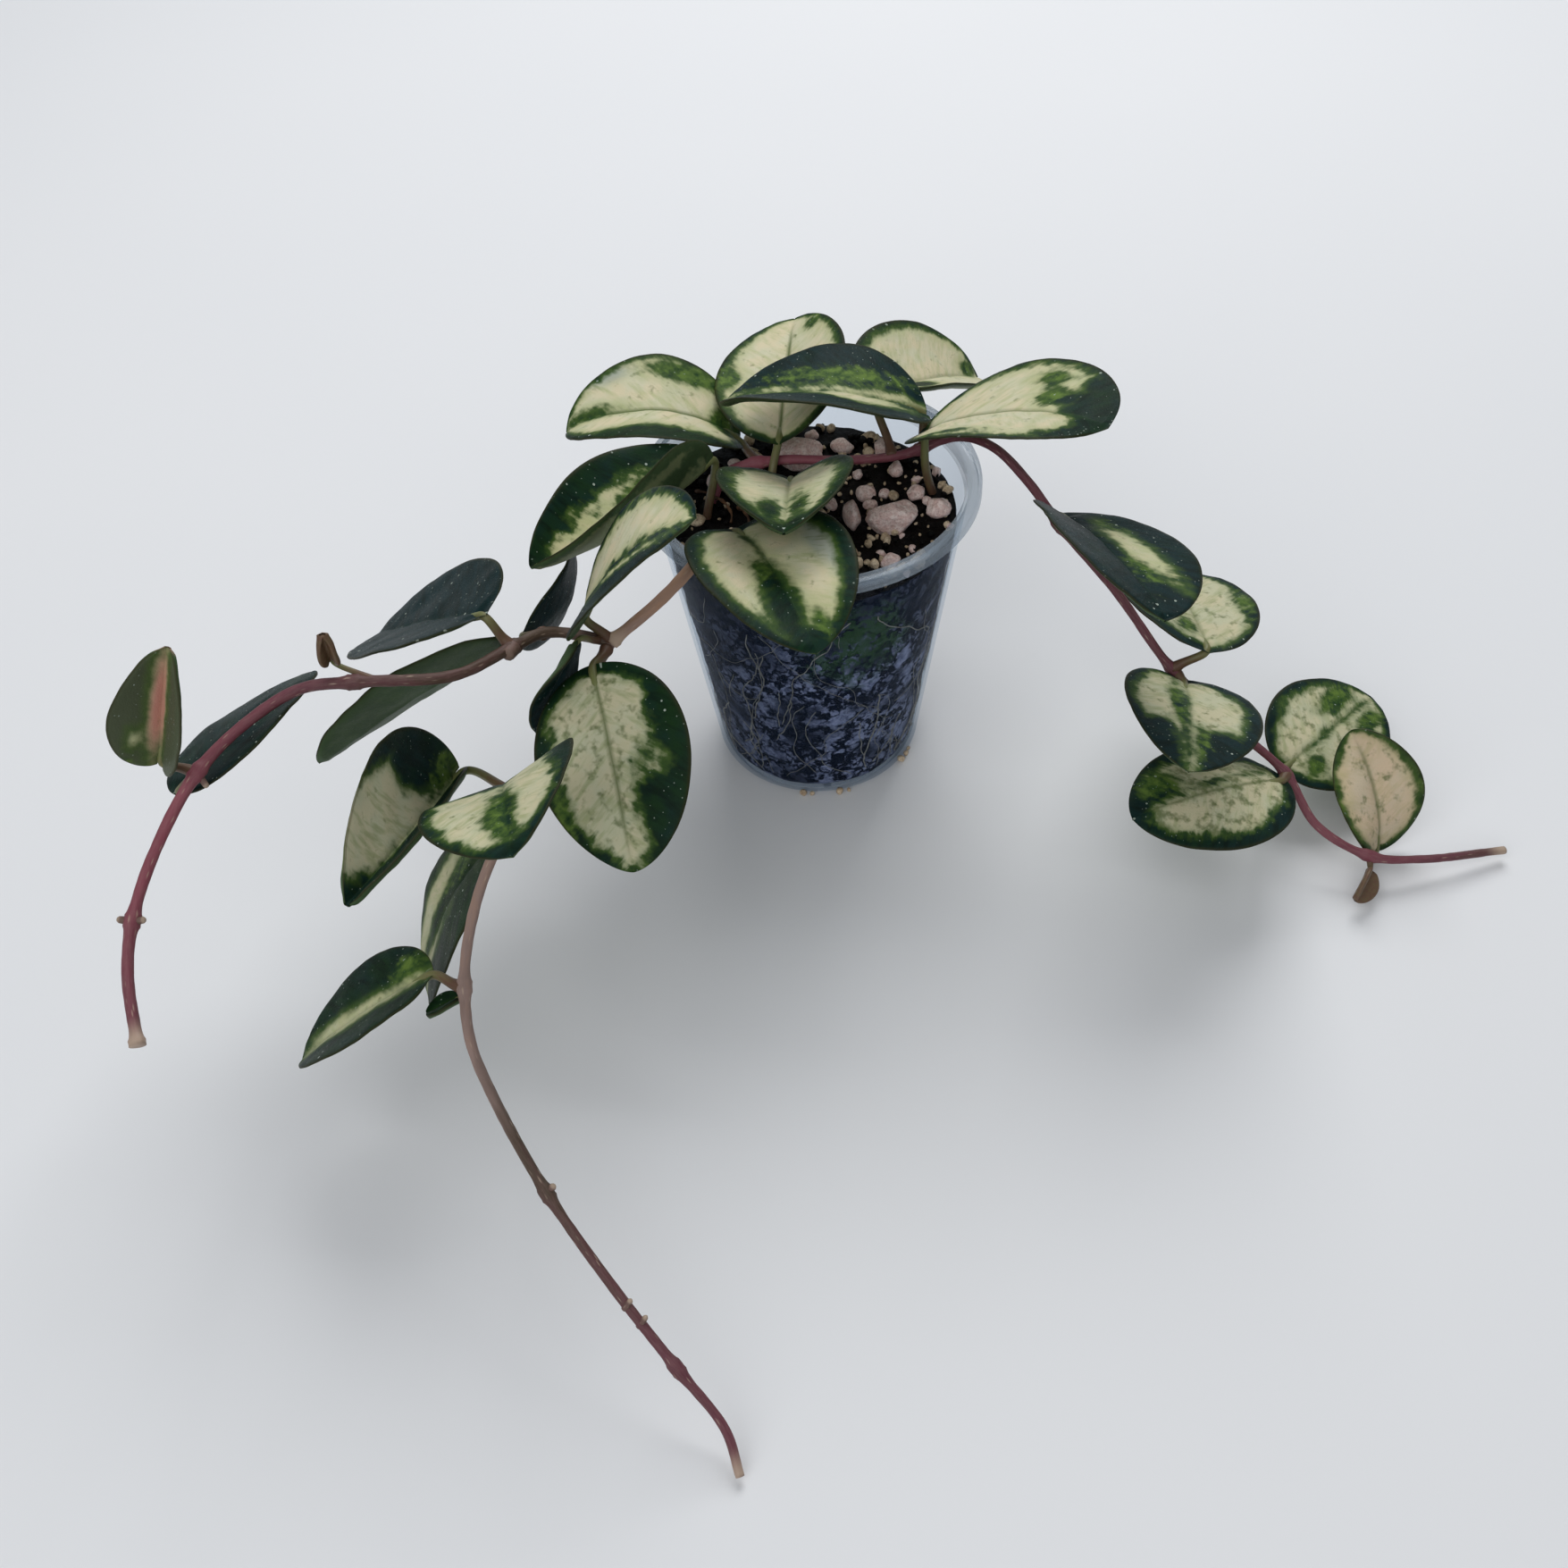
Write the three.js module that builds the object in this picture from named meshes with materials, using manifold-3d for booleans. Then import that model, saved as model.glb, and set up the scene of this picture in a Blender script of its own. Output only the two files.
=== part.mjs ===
// A trailing variegated hoya in a small clear cup of soil, in millimetres, +Z up
import * as THREE from 'three';
import { mergeVertices } from 'three/addons/utils/BufferGeometryUtils.js';
import Module from 'manifold-3d';

const wasm = await Module();
wasm.setup();

// Cup
const CUP_HEIGHT = 81;
const CUP_WALL = 0.8;
const CUP_BASE_RADIUS = 22.8;
const CUP_FOOT_RADIUS = 26;
const CUP_FOOT_HEIGHT = 4;
const CUP_NECK_RADIUS = 36.7;
const CUP_NECK_HEIGHT = 76.5;
const LIP_OUTER_RADIUS = 40;
const LIP_INNER_RADIUS = 37.2;
const LIP_DROP = 2.8;
const CUP_SEGMENTS = 48;

// Soil
const GAP = 0.3;
const SOIL_LEVEL = 71.5;
const SOIL_RINGS = [30, 23, 15, 7];
const SOIL_WAVE = 0.7;
const GRAVEL_COUNT = 18;
const GRAVEL_SMALL = 0.8;
const GRAVEL_LARGE = 1.7;
const SEED = 20863;

// Stems
const STEM_SIDES = 8;
const STEM_STEP = 6;
const KNOT_SWELL = 0.5;
const KNOT_REACH = 2.2;

// Leaves
const BLADE_ALONG = 9;
const BLADE_ACROSS = 3;
const BLADE_THICK = 1.5;
const BLADE_EDGE_THICK = 0.9;
const BLADE_BASE_POWER = 0.48;
const BLADE_TIP_POWER = 0.62;
const BASE_LOBE = 0.05;
const PETIOLE_RADIUS = 1.1;
const PETIOLE_END_RADIUS = 0.85;
const PETIOLE_SIDES = 5;
const PETIOLE_STEPS = 5;
const PETIOLE_INTO_BLADE = 3;
const SMALL_LEAF_LENGTH = 30;
const LEAST_PETIOLE_SCALE = 0.6;

const FINISH = {
  clearPlastic: { color: '#b9c6d2', roughness: 0.15, metalness: 0 },
  soil: { color: '#221d1b', roughness: 0.95, metalness: 0 },
  pumice: { color: '#b39c93', roughness: 0.9, metalness: 0 },
  stemMaroon: { color: '#6e3340', roughness: 0.6, metalness: 0 },
  stemBrown: { color: '#8a6658', roughness: 0.65, metalness: 0 },
  leafCream: { color: '#c6c79c', roughness: 0.45, metalness: 0 },
  leafGreen: { color: '#35533a', roughness: 0.4, metalness: 0 },
  leafBlush: { color: '#cdb39b', roughness: 0.5, metalness: 0 },
  leafUnder: { color: '#4a5c3c', roughness: 0.5, metalness: 0 },
};

// Maroon stem: out of the soil, over the right rim and down to the surface
const RIGHT_STEM = {
  route: [
    [-22, 4, 64], [-23, 5, 71], [-19, 9.5, 76.5], [-8, 11, 78], [10, 9.5, 78], [22, 9, 79],
    [35, 8, 84], [42.7, 0.7, 85.7], [50, -8, 81.5], [56, -17, 76], [69.2, -23.4, 60.6],
    [81.7, -35.2, 45.8], [96, -42, 33], [109, -48, 22], [115, -58, 14.5], [127, -64, 9],
    [140, -63.7, 6.3], [162, -59.5, 2.8],
  ],
  knots: [[-12, 11, 78], [27, 9, 80.5], [56, -17, 76], [82, -35, 46], [109, -48, 22], [127, -64, 9]],
  radius: 1.15,
  endRadius: 0.95,
};

// Brown stem: out of the soil and over the left front rim to the fork
const FORK_TRUNK = {
  route: [[-20, -6, 64], [-20, -11, 73], [-22, -20, 80], [-24.5, -28, 83.6], [-28.5, -35, 83.4],
    [-35, -39.5, 79.5], [-46, -43, 72]],
  knots: [[-46, -43, 72]],
  radius: 1.35,
  endRadius: 1.3,
};
const LEFT_BRANCH = {
  route: [[-46, -43, 72], [-59, -44, 76.5], [-66, -52, 80], [-77, -63, 83], [-97, -65.5, 85],
    [-108, -65.5, 84], [-118, -71, 81.5], [-128, -82, 78], [-136, -98, 71], [-139, -110, 66],
    [-139, -120, 62], [-136, -133, 56.5]],
  knots: [[-66, -52, 80], [-97, -65.5, 85], [-128, -82, 78], [-139, -110, 66], [-136, -133, 56.5]],
  radius: 1.25,
  endRadius: 1.15,
};
const FRONT_BRANCH = {
  route: [[-46, -43, 72], [-58, -63, 65], [-65, -76, 60], [-73, -94, 54.5], [-76, -107, 50.5],
    [-76.4, -117, 48], [-74.9, -128.1, 44.7], [-70.6, -138.2, 41.3], [-59.7, -156.9, 34.1],
    [-47.9, -171.7, 23.8], [-36.8, -183.9, 14.1], [-28.3, -192.9, 6.1], [-26, -200, 1.6]],
  knots: [[-65, -76, 60], [-76, -117, 48], [-60, -157, 34], [-37, -184, 14]],
  radius: 1.25,
  endRadius: 0.9,
};
// Short stubs of lost leaves and side roots: where they stand and which way they point
const STUBS = [
  { at: [-139, -110, 66], toward: [-1, 0.1, 0.2], reach: 2.9, radius: 0.9 },
  { at: [-139, -110, 66], toward: [1, -0.1, 0.2], reach: 2.9, radius: 0.9 },
  { at: [-128, -82, 78], toward: [0.5, -0.6, -0.6], reach: 3.6, radius: 0.8 },
  { at: [-60, -157, 34], toward: [0.6, 0.3, 0.6], reach: 2.7, radius: 0.9 },
  { at: [-43.5, -177.5, 19], toward: [0.5, 0.2, 0.8], reach: 3.2, radius: 0.7 },
  { at: [-46, -175, 21.5], toward: [0.5, 0.2, 0.8], reach: 2.8, radius: 0.7 },
];

// Loose pumice stones on the soil: centre, size and turn
const STONES = [
  { name: 'pumice_large', at: [18.5, -7.5, 73.6], size: [13, 9.5, 7.5], turn: 20 },
  { name: 'pumice_back', at: [-2, 19.5, 73.6], size: [13.5, 9.5, 7], turn: -15 },
  { name: 'pumice_tall', at: [9.5, -5, 73.2], size: [4.2, 8.5, 6.5], turn: 10 },
  { name: 'pumice_right', at: [29.6, -4, 72.8], size: [6, 5, 4.6], turn: 0 },
  { name: 'pumice_right_small', at: [25.2, 2.4, 72.6], size: [4.4, 4.2, 4], turn: 35 },
  { name: 'pumice_middle', at: [13.5, 3.5, 72.5], size: [5, 4.6, 4.2], turn: -30 },
  { name: 'pumice_front', at: [17, -22, 72.4], size: [4.6, 4, 3.8], turn: 15 },
  { name: 'pumice_back_right', at: [18.5, 21, 72.8], size: [4, 7, 4.6], turn: 0 },
];

// Each leaf: where its blade begins, its heading and rise, its roll about the midrib, its size,
// how far the halves fold up, how far the blade arches down, how its edges cup, the uneven
// fold of the two halves, its twist, and the stem point or the foot in the soil of its petiole;
// slim is how wide its second half is where that half has curled in, and tip is how pointed
// it ends, less for a blunter one
const LEAVES = [
  { name: 'leaf_mouth_left', at: [-17, 22, 78.5], heading: 186, rise: 45, roll: 8, length: 44,
    width: 35, fold: 12, arch: 79, cup: 6, skew: 5, twist: 0, root: [-12, 11, 78],
    finish: 'leafCream' },
  { name: 'leaf_mouth_back', at: [-6.5, 12.5, 84], heading: 83, rise: 10, roll: 9, length: 44,
    width: 34, fold: 12, arch: 8, cup: 6, skew: -2, twist: -9, foot: [-9, 4, 68],
    bend: [-8.5, 6.8, 78], finish: 'leafCream' },
  { name: 'leaf_mouth_dark', at: [26.5, 11.5, 90], heading: 186, rise: 30, roll: 24, length: 48,
    width: 38, fold: 11, arch: 59, cup: 6, skew: 24, twist: 18, root: [28, 9, 81],
    finish: 'leafGreen' },
  { name: 'leaf_mouth_back_right', at: [18.5, 23.5, 87], heading: 50, rise: -16, roll: 6,
    length: 47, width: 37, fold: 18, arch: 16, cup: 8, skew: 1, twist: 30, root: [20, 9, 79],
    finish: 'leafCream' },
  { name: 'leaf_mouth_right', at: [27, 6.5, 87], heading: 331, rise: 40, roll: 17, length: 49.5,
    width: 40, fold: 8, arch: 39, cup: 5, skew: 9, twist: 2, tip: 0.46, foot: [30, 4, 68],
    bend: [27.5, 4.5, 78], finish: 'leafCream' },
  { name: 'leaf_mouth_small', at: [-4.5, -2.5, 83], heading: 266, rise: 26, roll: -4, length: 43,
    width: 33, fold: 20, arch: 8, cup: 9, skew: 2, twist: -5, foot: [-4, 4, 68],
    finish: 'leafCream' },
  { name: 'leaf_rim_front', at: [-17, -21, 83.5], heading: 291, rise: 22, roll: 5, length: 47,
    width: 36, fold: 11, arch: 41, cup: 6, skew: 3, twist: 1, root: [-21.5, -18, 79],
    finish: 'leafCream' },
  { name: 'leaf_rim_left', at: [-24, 0, 87], heading: 227, rise: -12, roll: -39, length: 50,
    width: 33, fold: 44, arch: -25, cup: 16, skew: -4, twist: -40, foot: [-25, -1, 67],
    finish: 'leafCream' },
  { name: 'leaf_fork_upper', at: [-51.5, -42, 79.5], heading: 332, rise: 69, roll: -11,
    length: 45, width: 34, fold: 5, arch: 40, cup: 5, skew: 5, twist: -6, root: [-46, -43, 72],
    finish: 'leafCream' },
  { name: 'leaf_fork_large', at: [-49.5, -54.5, 74], heading: 281, rise: -7, roll: 2, length: 46,
    width: 34, fold: -4, arch: 45, cup: 2, skew: 13, twist: 12, root: [-47, -45, 72],
    finish: 'leafCream' },
  { name: 'leaf_fork_narrow', at: [-52.4, -50.8, 78.2], heading: 210.5, rise: -43.7, roll: 97,
    length: 21, width: 18, fold: 9.4, arch: -28.6, cup: 0, skew: -39.7, twist: 39.6,
    root: [-48.5, -43, 72.5], finish: 'leafGreen' },
  { name: 'leaf_left_inner', at: [-64.5, -38.5, 71], heading: 45, rise: -11, roll: -98,
    length: 34, width: 25, fold: -10, arch: 59, cup: 1, skew: 14, twist: -20,
    root: [-60, -45, 77], finish: 'leafGreen' },
  { name: 'leaf_left_upper', at: [-72, -49.5, 88], heading: 139, rise: -30, roll: -2, length: 48,
    width: 37, fold: 9, arch: 8, cup: 6, skew: -5, twist: -2, root: [-66, -52, 80],
    finish: 'leafGreen' },
  { name: 'leaf_left_lower', at: [-69.5, -45, 75], heading: 199, rise: -12, roll: -51, length: 47,
    width: 36, fold: 4, arch: 15, cup: 4, skew: 1, twist: 3, root: [-67, -53, 80],
    finish: 'leafUnder' },
  { name: 'leaf_left_bud', at: [-101, -63, 88.5], heading: 279, rise: 69, roll: -180, length: 9,
    width: 5, fold: 50, arch: 18, cup: 8, skew: 0, twist: 1, root: [-92.5, -65, 84.5],
    finish: 'leafUnder' },
  { name: 'leaf_left_behind', at: [-134, -79, 71.5], heading: 56, rise: 14, roll: 21, length: 39,
    width: 29, fold: -3, arch: 22, cup: 3, skew: -3, twist: -11, root: [-128, -82, 78],
    finish: 'leafGreen' },
  { name: 'leaf_left_end', at: [-135.5, -80, 80], heading: 18, rise: 72, roll: -55, length: 28,
    width: 22, fold: 43, arch: 4, cup: 14, skew: 0, twist: 7, root: [-128, -82, 78],
    finish: 'leafUnder' },
  { name: 'leaf_front_outer', at: [-81.3, -63.1, 53.9], heading: 252.6, rise: 12.7, roll: 5.6,
    length: 52.5, width: 41.6, fold: 46.6, arch: -8.1, cup: 29.1, skew: -4, twist: -9.9,
    slim: 0.35, root: [-65, -76, 60], finish: 'leafCream' },
  { name: 'leaf_front_saddle', at: [-66.5, -85.5, 72.5], heading: 278, rise: 52, roll: -5,
    length: 45, width: 34, fold: 7, arch: 46, cup: 5, skew: 11, twist: 8, root: [-65, -76, 60],
    finish: 'leafCream' },
  { name: 'leaf_front_hanging', at: [-74, -84, 51.5], heading: 202, rise: -39, roll: -15,
    length: 43, width: 33, fold: 1, arch: 44, cup: 4, skew: 0, twist: -2, root: [-67, -80, 59],
    finish: 'leafGreen' },
  { name: 'leaf_front_low', at: [-85, -112.5, 47], heading: 187, rise: -27, roll: -10, length: 36,
    width: 27, fold: 9, arch: 15, cup: 6, skew: 1, twist: 6, root: [-76, -117, 48],
    finish: 'leafGreen' },
  { name: 'leaf_front_tiny', at: [-78.3, -117, 45.2], heading: 195, rise: -12, roll: -20,
    length: 7.5, width: 6, fold: 12, arch: 15, cup: 6, skew: 0, twist: 0, root: [-76, -117, 48],
    finish: 'leafGreen' },
  { name: 'leaf_right_first', at: [55.5, -22.5, 83.5], heading: 294, rise: 16, roll: 35,
    length: 46, width: 36, fold: 11, arch: 21, cup: 6, skew: 6, twist: 6, root: [56, -17, 76],
    finish: 'leafGreen' },
  { name: 'leaf_right_second_back', at: [89.5, -33.5, 51.5], heading: 90, rise: -6, roll: -14,
    length: 44, width: 33, fold: 5, arch: 23, cup: 5, skew: -1, twist: -9, root: [82, -35, 46],
    finish: 'leafCream' },
  { name: 'leaf_right_second_front', at: [84, -38.5, 45.5], heading: 262, rise: 25, roll: 23,
    length: 42, width: 32, fold: 6, arch: 19, cup: 5, skew: 9, twist: 1, root: [83, -35.5, 45],
    finish: 'leafCream' },
  { name: 'leaf_right_third_left', at: [107, -51, 23.5], heading: 201, rise: 21, roll: -2,
    length: 42, width: 32, fold: -9, arch: 25, cup: 1, skew: -1, twist: -13, root: [109, -48, 22],
    finish: 'leafCream' },
  { name: 'leaf_right_third_right', at: [112, -40.5, 17], heading: 40, rise: 0, roll: -24,
    length: 41, width: 31, fold: -2, arch: 18, cup: 3, skew: -2, twist: -5, root: [109, -48, 22],
    finish: 'leafCream' },
  { name: 'leaf_right_end', at: [132.5, -56.5, 3], heading: 93, rise: 74, roll: -38, length: 31,
    width: 23, fold: 16, arch: 42, cup: 8, skew: -2, twist: -54, root: [127, -64, 9],
    finish: 'leafBlush' },
  { name: 'leaf_right_bud', at: [127.5, -67, 7], heading: 242, rise: -12, roll: 62, length: 9,
    width: 7, fold: 22, arch: 18, cup: 9, skew: 0, twist: -2, root: [127, -64, 9],
    finish: 'leafUnder' },
];

// Helpers
const point = (list) => new THREE.Vector3(list[0], list[1], list[2]);

function seededRandom(seed) {
  let state = seed;
  return () => {
    state = (Math.imul(state, 1664525) + 1013904223) >>> 0;
    return state / 4294967296;
  };
}

function indexedGeometry(vertices, triangles) {
  const geometry = new THREE.BufferGeometry();
  const flat = new Float32Array(vertices.length * 3);
  vertices.forEach((vertex, index) => vertex.toArray(flat, index * 3));
  geometry.setAttribute('position', new THREE.BufferAttribute(flat, 3));
  geometry.setIndex(triangles.flat());
  return geometry;
}

function solidOf(geometry) {
  const bare = geometry.clone();
  bare.deleteAttribute('normal');
  bare.deleteAttribute('uv');
  const merged = mergeVertices(bare, 1e-5);
  const mesh = new wasm.Mesh({
    numProp: 3,
    vertProperties: new Float32Array(merged.attributes.position.array),
    triVerts: new Uint32Array(merged.index.array),
  });
  return new wasm.Manifold(mesh);
}

function geometryOf(solid) {
  const mesh = solid.getMesh();
  const geometry = new THREE.BufferGeometry();
  geometry.setAttribute('position', new THREE.BufferAttribute(mesh.vertProperties, 3));
  geometry.setIndex(new THREE.BufferAttribute(mesh.triVerts, 1));
  return geometry;
}

function largestBody(solid) {
  const bodies = solid.decompose();
  return bodies.reduce((best, body) => (body.volume() > best.volume() ? body : best));
}

function namedMesh(name, geometry, finish) {
  geometry.computeVertexNormals();
  const material = new THREE.MeshStandardMaterial(FINISH[finish]);
  material.name = finish;
  const mesh = new THREE.Mesh(geometry, material);
  mesh.name = name;
  return mesh;
}

// A solid of revolution about Z from a profile that begins and ends on the axis
function turned(profile, segments, raise = (x, y, z) => z) {
  const vertices = [];
  const rows = profile.map(([radius, height], row) => {
    const count = radius === 0 ? 1 : segments;
    const indices = [];
    for (let k = 0; k < count; k += 1) {
      const angle = (2 * Math.PI * k) / segments;
      const x = radius * Math.cos(angle);
      const y = radius * Math.sin(angle);
      indices.push(vertices.length);
      vertices.push(new THREE.Vector3(x, y, raise(x, y, height, row)));
    }
    return indices;
  });
  const triangles = [];
  for (let row = 0; row + 1 < rows.length; row += 1) {
    const low = rows[row];
    const high = rows[row + 1];
    for (let k = 0; k < segments; k += 1) {
      const next = (k + 1) % segments;
      if (low.length > 1) {
        triangles.push([low[k], low[next], high[high.length > 1 ? next : 0]]);
      }
      if (high.length > 1) {
        triangles.push([low[low.length > 1 ? k : 0], high[next], high[k]]);
      }
    }
  }
  return indexedGeometry(vertices, triangles);
}

// A closed round limb through a row of centres, with a radius for each
function limb(centres, radii, sides) {
  const tangents = centres.map((centre, index) => {
    const before = centres[Math.max(index - 1, 0)];
    const after = centres[Math.min(index + 1, centres.length - 1)];
    return after.clone().sub(before).normalize();
  });
  const helper = Math.abs(tangents[0].z) < 0.9 ? new THREE.Vector3(0, 0, 1) : new THREE.Vector3(1, 0, 0);
  const side = new THREE.Vector3().crossVectors(tangents[0], helper).normalize();
  const vertices = [];
  const triangles = [];
  centres.forEach((centre, index) => {
    if (index > 0) {
      const turn = new THREE.Quaternion().setFromUnitVectors(tangents[index - 1], tangents[index]);
      side.applyQuaternion(turn);
    }
    const across = new THREE.Vector3().crossVectors(tangents[index], side);
    for (let k = 0; k < sides; k += 1) {
      const angle = (2 * Math.PI * k) / sides;
      const offset = side.clone().multiplyScalar(Math.cos(angle) * radii[index]);
      offset.addScaledVector(across, Math.sin(angle) * radii[index]);
      vertices.push(centre.clone().add(offset));
    }
  });
  for (let row = 0; row + 1 < centres.length; row += 1) {
    for (let k = 0; k < sides; k += 1) {
      const next = (k + 1) % sides;
      const a = row * sides + k;
      const b = row * sides + next;
      triangles.push([a, b, b + sides], [a, b + sides, a + sides]);
    }
  }
  const first = vertices.length;
  vertices.push(centres[0].clone(), centres[centres.length - 1].clone());
  const last = (centres.length - 1) * sides;
  for (let k = 0; k < sides; k += 1) {
    const next = (k + 1) % sides;
    triangles.push([first, next, k], [first + 1, last + k, last + next]);
  }
  return indexedGeometry(vertices, triangles);
}

// Stems
function stemOf({ route, knots, radius, endRadius }) {
  const curve = new THREE.CatmullRomCurve3(route.map(point), false, 'centripetal');
  const steps = Math.round(curve.getLength() / STEM_STEP);
  const centres = curve.getSpacedPoints(steps);
  const swollen = knots.map(point);
  const radii = centres.map((centre, index) => {
    const plain = THREE.MathUtils.lerp(radius, endRadius, index / steps);
    const nearest = Math.min(...swollen.map((knot) => knot.distanceTo(centre)));
    return plain + KNOT_SWELL * Math.exp(-((nearest / KNOT_REACH) ** 2));
  });
  return { centres, radii };
}

function stemSolid(stem) {
  return solidOf(limb(stem.centres, stem.radii, STEM_SIDES));
}

// The hole that a limb stands in: a little wider and deeper than the limb itself
function holeSolid(centres, radii, sides) {
  const deeper = centres[0].clone().sub(centres[1]).setLength(GAP).add(centres[0]);
  const wide = radii.map((radius) => radius + GAP);
  return solidOf(limb([deeper, ...centres.slice(1, 4)], wide.slice(0, 4), sides));
}

function nearestOn(stems, target) {
  let best = null;
  stems.forEach(({ centres, radii }) => {
    for (let index = 0; index + 1 < centres.length; index += 1) {
      const line = new THREE.Line3(centres[index], centres[index + 1]);
      const close = line.closestPointToPoint(target, true, new THREE.Vector3());
      const distance = close.distanceTo(target);
      if (best === null || distance < best.distance) {
        const tangent = line.delta(new THREE.Vector3()).normalize();
        best = { distance, close, tangent, radius: Math.max(radii[index], radii[index + 1]) };
      }
    }
  });
  return best;
}

function stubSolid({ at, toward, reach, radius }) {
  const begin = point(at);
  const end = begin.clone().addScaledVector(point(toward).normalize(), reach);
  return solidOf(limb([begin, end], [radius, radius * 0.7], PETIOLE_SIDES));
}

// Leaves
function bladeAxes(leaf) {
  const heading = THREE.MathUtils.degToRad(leaf.heading);
  const rise = THREE.MathUtils.degToRad(leaf.rise);
  const roll = THREE.MathUtils.degToRad(leaf.roll);
  const level = new THREE.Vector3(Math.cos(heading), Math.sin(heading), 0);
  const along = level.clone().multiplyScalar(Math.cos(rise));
  along.z = Math.sin(rise);
  const up = level.clone().multiplyScalar(-Math.sin(rise));
  up.z = Math.cos(rise);
  const upAcross = new THREE.Vector3().crossVectors(up, along);
  const normal = up.multiplyScalar(Math.cos(roll)).addScaledVector(upAcross, Math.sin(roll));
  const across = new THREE.Vector3().crossVectors(normal, along);
  return { along, normal, across };
}

function halfWidth(leaf, s) {
  const tip = leaf.tip ?? BLADE_TIP_POWER;
  const peak = BLADE_BASE_POWER / (BLADE_BASE_POWER + tip);
  const top = peak ** BLADE_BASE_POWER * (1 - peak) ** tip;
  return ((leaf.width / 2) * s ** BLADE_BASE_POWER * (1 - s) ** tip) / top;
}

// A point of the blade's upper face: s runs from base to tip, t from edge to edge
function bladePoint(leaf, axes, s, t) {
  const arch = THREE.MathUtils.degToRad(leaf.arch || 0.01);
  const bendRadius = leaf.length / arch;
  const turnAngle = arch * s;
  const centre = point(leaf.at);
  centre.addScaledVector(axes.along, bendRadius * Math.sin(turnAngle));
  centre.addScaledVector(axes.normal, -bendRadius * (1 - Math.cos(turnAngle)));
  const along = axes.along.clone().multiplyScalar(Math.cos(turnAngle));
  along.addScaledVector(axes.normal, -Math.sin(turnAngle));
  const normal = axes.normal.clone().multiplyScalar(Math.cos(turnAngle));
  normal.addScaledVector(axes.along, Math.sin(turnAngle));
  const twist = THREE.MathUtils.degToRad(leaf.twist) * s;
  const across = axes.across.clone().multiplyScalar(Math.cos(twist));
  across.addScaledVector(normal, Math.sin(twist));
  const upward = normal.multiplyScalar(Math.cos(twist));
  upward.addScaledVector(axes.across, -Math.sin(twist));
  const reach = Math.abs(t);
  const side = Math.sign(t);
  const half = halfWidth(leaf, s) * (side > 0 ? leaf.slim ?? 1 : 1);
  const fold = THREE.MathUtils.degToRad(leaf.fold + side * leaf.skew);
  const cup = THREE.MathUtils.degToRad(leaf.cup || 0.01);
  const outward = (half * (Math.sin(fold + cup * reach) - Math.sin(fold))) / cup;
  const lift = (half * (Math.cos(fold) - Math.cos(fold + cup * reach))) / cup;
  centre.addScaledVector(across, side * outward);
  centre.addScaledVector(upward, lift);
  return centre.addScaledVector(along, -BASE_LOBE * leaf.length * reach ** 2 * (1 - s) ** 6);
}

function bladeNormal(leaf, axes, s, t) {
  const step = 0.02;
  const inner = THREE.MathUtils.clamp(s, 0.06, 0.94);
  const ahead = bladePoint(leaf, axes, inner + step, t).sub(bladePoint(leaf, axes, inner - step, t));
  const left = bladePoint(leaf, axes, inner, Math.max(t - step, -1));
  const right = bladePoint(leaf, axes, inner, Math.min(t + step, 1));
  return ahead.cross(right.sub(left)).normalize();
}

function bladeSolid(leaf, axes) {
  const vertices = [];
  const triangles = [];
  const layer = (depth) => {
    const rows = [];
    for (let row = 0; row <= BLADE_ALONG; row += 1) {
      const s = (1 - Math.cos((Math.PI * row) / BLADE_ALONG)) / 2;
      const end = row === 0 || row === BLADE_ALONG;
      const indices = [];
      for (let column = -BLADE_ACROSS; column <= BLADE_ACROSS; column += 1) {
        const t = column / BLADE_ACROSS;
        if (!end || column === 0) {
          const thick = THREE.MathUtils.lerp(BLADE_THICK, BLADE_EDGE_THICK, end ? 1 : t * t);
          const place = bladePoint(leaf, axes, s, t);
          place.addScaledVector(bladeNormal(leaf, axes, s, t), -depth * thick);
          indices.push(vertices.length);
          vertices.push(place);
        }
      }
      rows.push(indices);
    }
    return rows;
  };
  const upper = layer(0);
  const lower = layer(1);
  const columns = 2 * BLADE_ACROSS;
  const pick = (rows, row, column) => rows[row][rows[row].length > 1 ? column : 0];
  for (let row = 0; row < BLADE_ALONG; row += 1) {
    for (let column = 0; column < columns; column += 1) {
      [upper, lower].forEach((rows, face) => {
        const a = pick(rows, row, column);
        const b = pick(rows, row + 1, column);
        const c = pick(rows, row + 1, column + 1);
        const d = pick(rows, row, column + 1);
        const quad = column < BLADE_ACROSS ? [[a, b, c], [a, c, d]] : [[a, b, d], [b, c, d]];
        quad.filter((corners) => new Set(corners).size === 3).forEach((corners) => {
          triangles.push(face === 0 ? corners : [corners[0], corners[2], corners[1]]);
        });
      });
    }
    [0, columns].forEach((column) => {
      const a = pick(upper, row, column);
      const b = pick(upper, row + 1, column);
      const c = pick(lower, row + 1, column);
      const d = pick(lower, row, column);
      const quad = column === 0 ? [[a, d, c], [a, c, b]] : [[a, c, d], [a, b, c]];
      triangles.push(...quad);
    });
  }
  return solidOf(indexedGeometry(vertices, triangles));
}

// A small leaf has a thinner petiole
function petioleScale(leaf) {
  return THREE.MathUtils.clamp(leaf.length / SMALL_LEAF_LENGTH, LEAST_PETIOLE_SCALE, 1);
}

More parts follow.
